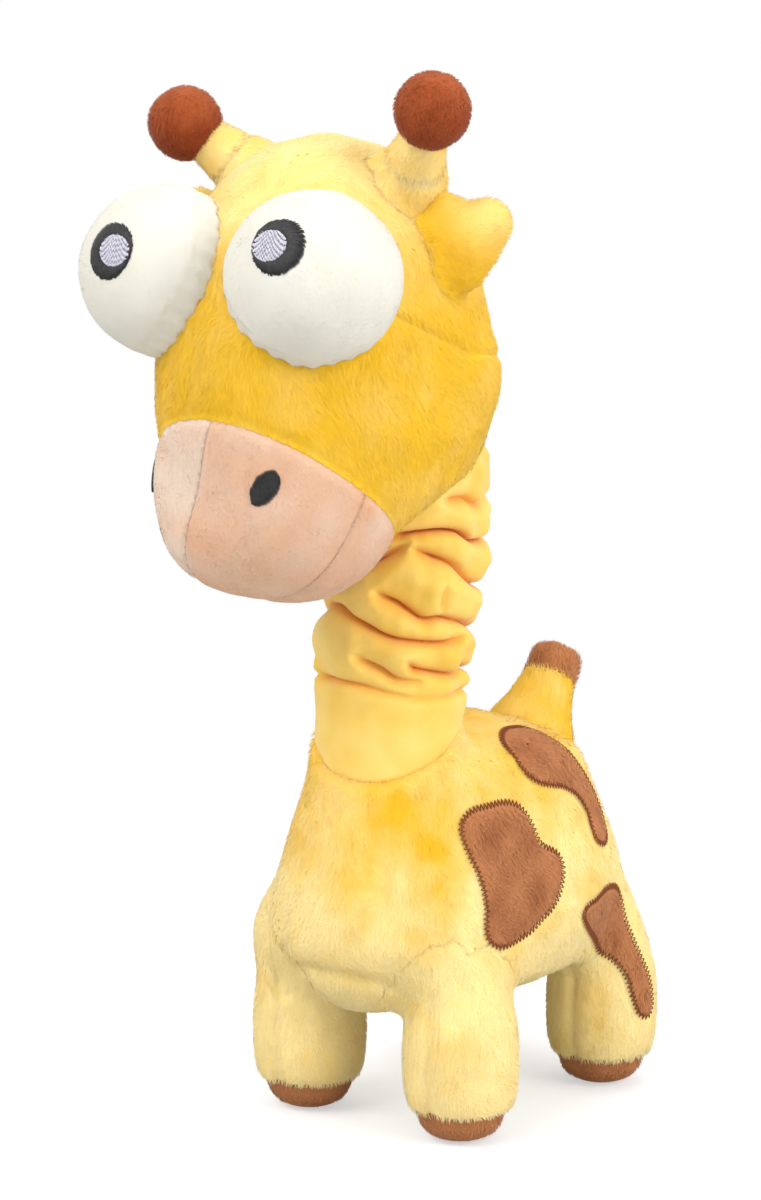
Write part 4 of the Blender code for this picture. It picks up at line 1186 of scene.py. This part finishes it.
def makePupil(side, tree, patch):
    sign = 1 if side == "left" else -1
    rng = np.random.default_rng(5 + sign)
    middle, right, up, facing = patch
    patch = (middle + up * pupil["lift"][side] + np.array((pupil["aside"][side], 0, 0)), right, up, facing)
    across, spin = tilt(patch, sign, pupil["roll"])
    inward = np.array((-sign * across * pupil["shift"], 0.0))
    count = int(pi * pupil["width"] / pupil["pitch"])
    turn = np.arange(count) / count * tau
    circle = np.stack([np.cos(turn), np.sin(turn)], 1)
    ring = circle * (pupil["width"], pupil["height"]) / 2
    outer = ring @ spin.T * (1 + rng.uniform(-pupil["uneven"], pupil["uneven"], (count, 1)))
    inner = circle * pupil["light"] / 2 * pupil["overlap"] + inward
    points, normals = stitched(tree, patch, np.concatenate([inner, outer], 1), 8)
    black = threadPiece(f"pupil_{side}_satin", points, normals, *pupil["thread"])
    dressPiece(black, materials["blackThread"], [f"pupil_{side}"], "head")
    spans = []
    half = np.array(pupil["light"]) / 2
    for i, x in enumerate(np.arange(-half[0] + 0.0003, half[0], highlight["row"])):
        top = half[1] * np.sqrt(max(0, 1 - (x / half[0]) ** 2)) * rng.uniform(0.95, 1.03)
        y = -top
        length = highlight["stitch"] / 2 if i % 2 else highlight["stitch"]
        while y < top - 0.0002:
            stop = min(top, y + length)
            spans.append((x + inward[0], y + inward[1], x + inward[0], stop + inward[1] - highlight["gap"]))
            y, length = stop, highlight["stitch"]
    points, normals = stitched(tree, patch, np.array(spans), 4)
    points = points + normals * highlight["lift"]
    pale = threadPiece(f"pupil_highlight_{side}_satin", points, normals, *highlight["thread"])
    dressPiece(pale, materials["paleThread"], [f"pupil_highlight_{side}"], "head")


def makeNostrils(tree):
    for side, sign in (("left", 1), ("right", -1)):
        rng = np.random.default_rng(15 + sign)
        patch = patchFrame(f"nostril_{side}", np.array(headCentre) + (0, 0.01, -0.02))
        _, spin = tilt(patch, sign, nostril["roll"])
        spans = []
        for y in np.arange(-nostril["height"] / 2, nostril["height"] / 2, nostril["pitch"]):
            half = nostril["width"] / 2 * np.sqrt(max(0, 1 - (2 * y / nostril["height"]) ** 2))
            a, b = half * rng.uniform(0.92, 1.06), half * rng.uniform(0.92, 1.06)
            spans.append((*(spin @ (-a, y - nostril["slant"])), *(spin @ (b, y + nostril["slant"]))))
        points, normals = stitched(tree, patch, np.array(spans), 9)
        piece = threadPiece(f"nostril_{side}_satin", points, normals, *nostril["thread"])
        dressPiece(piece, materials["blackThread"], [f"nostril_{side}"], "head")


def makeEyes(headTree):
    for side in ("left", "right"):
        centre = np.array(eyeCentre(side))
        bpy.ops.mesh.primitive_uv_sphere_add(
            segments=96, ring_count=60, radius=1, location=(0, 0, 0), rotation=(pi / 2, 0, 0))
        eye = bpy.context.object
        eye.name = f"eye_{side}_velour"
        pickOnly(eye)
        bpy.ops.object.transform_apply(location=True, rotation=True, scale=True)
        co = numbersOf(eye.data.vertices, "co", 3)
        out = unit(co)
        waves = ripples(co, 0.9, 12) * eyeShape["waves"]
        place = centre + out * (eyeHalf - eyeShape["inset"]) + out * waves[:, None]
        outward = unit(centre - np.array(headCentre))
        right = np.cross(outward, (0, 0, 1.0))
        turn = np.arctan2(out @ unit(np.cross(right, outward)), out @ unit(right))
        for i, point in enumerate(place):
            near, away, _, _ = headTree.find_nearest(Vector(point))
            height = (Vector(point) - near).dot(away)
            if height < eyeShape["gatherHeight"]:
                rise = 1 - max(height, 0) / eyeShape["gatherHeight"]
                pucker = eyeShape["gatherDepth"] * rise * cos(eyeShape["gathers"] * turn[i])
                place[i] -= out[i] * (pucker + eyeShape["gatherInset"])
            if height < -eyeShape["sunk"]:
                place[i] = near - away * eyeShape["sunk"]
        moveTo(eye, place)
        patch = patchFrame(f"pupil_{side}", centre)
        eyeTree = treeOf(eye)

        def clearOfPupil(points):
            flat = points - patch[0] - patch[2] * pupil["lift"][side]
            return (np.hypot(flat @ patch[1], flat @ patch[2]) > pupil["clear"]).astype(float)

        piece = furPart(eye, f"eye_{side}_velour", dict(velourPile, length=0.0006, comb=(0, 0.4, -1)), 80,
                        share=clearOfPupil)
        dressPiece(piece, materials["eye"], [f"eye_{side}"], "head")
        makePupil(side, eyeTree, patch)


# Horns, ears and tail: each blends into the form it is sewn to
hornProfile = (  # height, radius
    (-0.0160, 0.0), (-0.0159, 0.0082), (-0.0100, 0.0118), (-0.0040, 0.0118), (0.0010, 0.0103), (0.0060, 0.0086),
    (0.0130, 0.0074), (0.0180, 0.0072), (0.0185, 0.0),
)
hornWeb = {"aside": {"left": -0.006, "right": 0.006}, "back": 0.001, "down": -0.0015, "radius": 0.0090}


def merged(name, pieces, rounds, centre, radius):
    form = remeshed(joinPieces(name, [copyOf(headForm, name + "_head"), *pieces]), 0.0013, rounds)
    co = surfaceOf(form)["co"]
    near = np.linalg.norm(co - np.array(centre), axis=1) < radius
    part = partByRings(form, name, (distances(headTree, co, 0.05) > 0.0006) & near, edgesOf(form))
    bpy.data.objects.remove(form)
    return part


def makeHorns():
    for side, aside in hornWeb["aside"].items():
        base = pivots[f"horn_{side}_flop"]
        low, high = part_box(f"horn_ball_{side}")
        centre, radius = (low + high) / 2, (high.x - low.x) / 2
        axis = (centre - base).normalized()
        web = addBall(base + Vector((aside, hornWeb["back"], hornWeb["down"])), hornWeb["radius"])
        stem = lathe(f"horn_stem_{side}_form", base, axis, hornProfile)
        stem = merged(f"horn_stem_{side}_plush", [stem, web], 40, base + axis * 0.008, 0.024)
        piece = furPart(stem, f"horn_stem_{side}_plush", dict(plushPile, length=0.0022, comb=tuple(-axis)), 90,
                        tint=lambda points: yellowTone(points) - 0.20)
        dressPiece(piece, materials["yellow"], [f"horn_stem_{side}"],
                   bends=("head", f"horn_{side}", base - axis * 0.004, base + axis * 0.006))
        ball = addBall(centre, radius - 0.0010)
        ballPile = dict(shortPile, length=0.0014, width=0.0003, comb=(-0.45, 0.6, -1))
        # paler towards the top of the ball as painted light, deeper underneath as painted shade, with random mottle
        piece = furPart(ball, f"horn_ball_{side}_plush", ballPile, 95,
                        tint=lambda points: 0.25 + (points[:, 2] - centre.z) * 40 + 0.12 * ripples(points, 0.010, 6))
        dressPiece(piece, materials["brown"], [f"horn_ball_{side}"], f"horn_{side}")


ear = {  # places count from the root of the left ear; a ball has a place and a radius
    "rise": 18, "hollow": (0.004, -0.0085, 0.0010), "hollowSize": (0.006, 0.008, 0.008), "hollowDepth": 0.0012,
    "tip": (0.0120, -0.0020, 0.0100), "top": (0, 0, 0.013),
    "balls": (((-0.0050, 0.0, 0.0072), 0.0094), ((0.0034, 0.0, 0.0030), 0.0112), ((0.0100, 0.0010, 0.0078), 0.0080),
              ((0.0004, 0.0, -0.0040), 0.0094)),
}


def makeEars():
    for side, sign in (("left", 1), ("right", -1)):
        name = f"ear_{side}"
        base, mirror = pivots[f"ear_{side}_flop"], np.array((sign, 1, 1))
        out = Vector((sign * cos(radians(ear["rise"])), 0, sin(radians(ear["rise"]))))
        balls = [addBall(base + Vector((sign * place[0], *place[1:])), radius, (1, 0.85, 1))
                 for place, radius in ear["balls"]]
        part = merged(name + "_plush", balls, 30, base, 0.030)
        hollow, tip = np.array(base) + mirror * ear["hollow"], np.array(base) + mirror * ear["tip"]
        grooved(part, lambda points, normals: ear["hollowDepth"] * hump(points, hollow, ear["hollowSize"]))

        # painted light on the ear's tip and top; the rest stays deep as painted shade in the hollow and below
        def earTone(points):
            top = hump(points, np.array(base) + ear["top"], 0.007)
            return 0.02 + 0.62 * hump(points, tip, 0.0095) + 0.25 * top

        piece = furPart(part, name + "_plush", dict(plushPile, length=0.0024, comb=(sign * 0.5, 0.8, 0.1)), 100,
                        tint=earTone)
        dressPiece(piece, materials["yellow"], [name],
                   bends=("head", name, base - out * 0.003, base + out * 0.007))


tail = {  # profiles along the tail: height, radius
    "rise": 34,
    "stub": ((-0.010, 0.0), (-0.0099, 0.0160), (-0.004, 0.0142), (0.003, 0.0112), (0.010, 0.0092), (0.0150, 0.0086),
             (0.0152, 0.0)),
    "end": ((0.0125, 0.0), (0.0126, 0.0082), (0.0150, 0.0086), (0.0200, 0.0087), (0.0230, 0.0078), (0.0243, 0.0055),
            (0.0246, 0.0)),
}


def makeTail():
    base = pivots["tail_flop"]
    axis = Vector((0, sin(radians(tail["rise"])), cos(radians(tail["rise"]))))
    stub = lathe("tail_plush", base, axis, tail["stub"])
    piece = furPart(stub, "tail_plush", dict(plushPile, length=0.0026, comb=tuple(axis)), 110,
                    tint=lambda points: yellowTone(points) - 0.25)
    dressPiece(piece, materials["yellow"], ["tail"],
               bends=("torso", "tail", base - axis * 0.005, base + axis * 0.006))
    end = lathe("tail_tip_plush", base, axis, tail["end"])
    piece = furPart(end, "tail_tip_plush", dict(shortPile, length=0.0022, comb=tuple(axis)), 111,
                    tint=lambda points: 0.85 + 0.12 * ripples(points, 0.010, 12))
    dressPiece(piece, materials["spot"], ["tail_tip"], "tail")


headForm = makeHead()
headTree = treeOf(headForm)
makeEyes(headTree)
makeNostrils(headTree)
makeHorns()
makeEars()
makeTail()
print("head, eyes, horns, ears and tail made")


# Neck: a gathered sleeve. Creases are (heading in degrees, height in millimetres) along each fold's valley

creases = (
    (1.0, ((14, 173.5), (31, 171.6), (55, 167), (72, 167.3), (92, 166), (130, 163), (170, 159), (205, 161))),
    (1.0, ((240, 158), (290, 164), (330, 168.8), (363, 164.6), (387, 161), (406, 159.8), (433, 159.4), (455, 159.8))),
    (1.0, ((44, 152.6), (61, 150.7), (96, 149.4), (105, 151.4), (150, 149), (190, 153), (235, 157))),
    (0.8, ((6, 153.4), (25, 151), (39, 147.9), (61, 146.3))),
    (1.1, ((324, 145.9), (335, 145.7), (368, 144.9), (393, 142.9), (417, 141), (440, 141.4), (475, 143.6), (510, 141),
           (560, 139), (610, 143), (660, 147), (684, 145.9))),
    (0.6, ((270, 134), (317, 132.9), (345, 133.6), (358, 134))),
    (1.3, ((14, 191.6), (42, 194), (74, 194.6), (100, 191), (150, 193), (200, 188))),
    (1.0, ((36, 188), (68, 184.8), (103, 178.1), (140, 176), (190, 172), (240, 176), (290, 182), (339, 176.1),
           (362, 182), (396, 189.9))),
    (0.7, ((60, 203), (84, 204.4), (103, 202.4), (140, 205))),
    (0.7, ((180, 183), (230, 186), (280, 192), (320, 190))),
    (0.7, ((215, 168), (260, 170), (300, 173))),
    (0.5, ((160, 131), (190, 130), (225, 133))),
    (0.6, ((66, 176), (72, 168))),
)
sleeve = {
    "around": 230, "along": 190, "low": -0.016, "high": 0.1092, "radius": 0.0250, "depth": 0.0056, "width": 0.0015,
    "puff": 0.0022, "puffFrom": 5.5, "hang": 0.0016, "wall": 0.0014, "axis": (0, 0.08716, 0.99619),
    "belowHead": 0.0962, "flatRadius": 25,
    "profile": ((0.0, 0.86), (0.06, 0.90), (0.12, 0.935), (0.20, 0.95), (0.28, 0.985), (0.36, 1.00), (0.68, 0.99),
                (0.78, 0.95), (0.87, 0.88), (0.93, 0.75), (0.97, 0.56), (1.0, 0.30)),
    "bow": ((0, 0.25, 0.45, 0.62, 0.8, 1.0), (0.0, 0.0, 0.0022, 0.0065, 0.0062, 0.0045)),
}


def creaseMarks(places):  # how near a crease each place is, how deep it's cut, and how much cloth hangs over it
    nearest, cut, above = np.full(len(places), 1e9), np.zeros(len(places)), np.zeros(len(places))
    for strength, path in creases:
        line = smoothPath(path, 14)
        fade = np.clip(np.minimum(np.arange(len(line)), np.arange(len(line))[::-1]) / 9, 0, 1) ** 0.7
        for lap in (-720, -360, 0, 360):
            flat = np.stack([np.radians(line[:, 0] + lap) * sleeve["flatRadius"], line[:, 1]], 1)
            for start in range(0, len(places), 8000):
                some = slice(start, start + 8000)
                gap = places[some][:, None] - flat[None]
                far = np.hypot(gap[..., 0], gap[..., 1])
                index = far.argmin(1)
                rows = np.arange(len(index))
                distance, rise = far[rows, index], gap[rows, index, 1]
                valley = strength * fade[index] * np.exp(-((distance / (sleeve["width"] * 1000)) ** 1.3))
                hang = strength * fade[index] * np.exp(-(((rise - 2.2) / 2.0) ** 2)) * (distance < 5)
                cut[some] = np.maximum(cut[some], valley)
                above[some] = np.maximum(above[some], hang)
                nearest[some] = np.minimum(nearest[some], distance / np.maximum(fade[index], 0.15))
    return nearest, cut, above


def makeNeck():
    axis = Vector(sleeve["axis"])
    base = pivots["head_turn"] - axis * sleeve["belowHead"]
    around, along, flatRadius = sleeve["around"], sleeve["along"], sleeve["flatRadius"]
    share = np.linspace(0, 1, along)
    height = sleeve["low"] + share * (sleeve["high"] - sleeve["low"])
    turn, height = np.meshgrid(np.arange(around) / around * 360, height)
    level = (base.z + 0.996 * height) * 1000
    nearest, cut, above = creaseMarks(np.stack([turn * radians(flatRadius), level], -1).reshape(-1, 2))
    radius = np.repeat(sleeve["radius"] * np.interp(share, *np.array(sleeve["profile"]).T), around)
    share = np.repeat(share, around)
    gathered = np.clip((share - 0.235) / 0.09, 0, 1) * np.clip((1 - share) / 0.10, 0, 1)
    puff = sleeve["puff"] * (1 - np.exp(-((nearest / sleeve["puffFrom"]) ** 2))) - sleeve["puff"] * 0.4
    heading = np.radians(turn.ravel())
    spots = np.stack([np.cos(heading) * flatRadius, np.sin(heading) * flatRadius, level.ravel()], 1)
    fine = ripples(spots * (1, 1, 0.45), 7, 31) * 0.00012 + ripples(spots, 14, 32) * 0.0004
    radius = radius + gathered * (puff - sleeve["depth"] * cut) + fine * (0.3 + gathered)
    drop = -sleeve["hang"] * above * gathered
    bow = np.interp(share, *sleeve["bow"])
    local = np.stack([np.sin(heading) * radius, -np.cos(heading) * radius + bow, height.ravel() + drop], 1)
    up, back = np.array(axis), np.array((0, sleeve["axis"][2], -sleeve["axis"][1]))
    co = np.array(base) + local[:, :1] * (1, 0, 0) + local[:, 1:2] * back + local[:, 2:] * up
    under = np.clip(-((co - chest["hem"]) @ unit(np.array(chest["slope"]))) / 0.004, 0, 1)
    inward = np.array(base) + up * local[:, 2:] - co
    co += inward * (under * 0.10)[:, None]
    rings = np.arange(along * around).reshape(along, around)
    nextOne = np.roll(rings, -1, 1)
    quads = np.stack([rings[:-1], nextOne[:-1], nextOne[1:], rings[1:]], -1).reshape(-1, 4)
    piece = pieceOf("neck_sleeve_velour", co.tolist(), [], quads.tolist())
    mesh = piece.data
    # each fold's valley depth, which the material paints darker as shade
    shade = mesh.attributes.new("crease", "FLOAT", "POINT")
    shade.data.foreach_set("value", (cut * gathered).astype(np.float32))
    mesh.polygons.foreach_set("use_smooth", np.ones(len(quads), bool))
    smoothed(piece, 2)
    applyModifier(piece, "SOLIDIFY", thickness=sleeve["wall"], offset=-1, use_even_offset=False)
    dressPiece(piece, neckMaterial(), ["neck_sleeve"],
               bends=("torso", "neck_top", base + axis * 0.012, pivots["head_turn"] - axis * 0.012))


def neckMaterial():  # velour with painted shade: darker orange in its creases
    material, tree, shader = startMaterial(
        "neckVelour", {"Roughness": 0.8, "Specular IOR Level": 0.2, "Sheen Weight": 0.3})
    place = addNode(tree, "TexCoord")
    cloud = addNode(tree, "TexNoise", {"Vector": place.outputs["Object"], "Scale": 60, "Detail": 4})
    velour = addRamp(tree, cloud.outputs["Fac"], ((0.3, (0.95, 0.60, 0.09)), (0.7, (0.99, 0.72, 0.20))))
    # painted shade: the creases mix towards a dark orange
    crease = addNode(tree, "Attribute", attribute_name="crease")
    mix = addNode(tree, "Mix", {"Factor": crease.outputs["Fac"], "A": velour, "B": (0.84, 0.30, 0.02, 1)},
                  data_type="RGBA")
    nap = addNode(tree, "Group", {"Scale": 1400, "Strength": 0.25, "Distance": 0.0004}, node_tree=grainGroup)
    feed(shader, {"Base Color": mix.outputs["Result"], "Normal": nap.outputs["Normal"]})
    return material


makeNeck()
print("neck made")

hidden = {
    "torso_stuffing": "fibreFill", "head_stuffing": "fibreFill", "neck_elastic": "elasticCord",
    "elastic_knot_lower": "elasticCord", "elastic_knot_upper": "elasticCord",
    "elastic_washer_lower": "washerPlastic", "elastic_washer_upper": "washerPlastic",
}
for name, finish in hidden.items():
    for holder in nodes[name].material_slots:
        holder.link = "OBJECT"
        holder.material = materials[finish]
for form in (bodyForm, headForm):
    bpy.data.objects.remove(form)
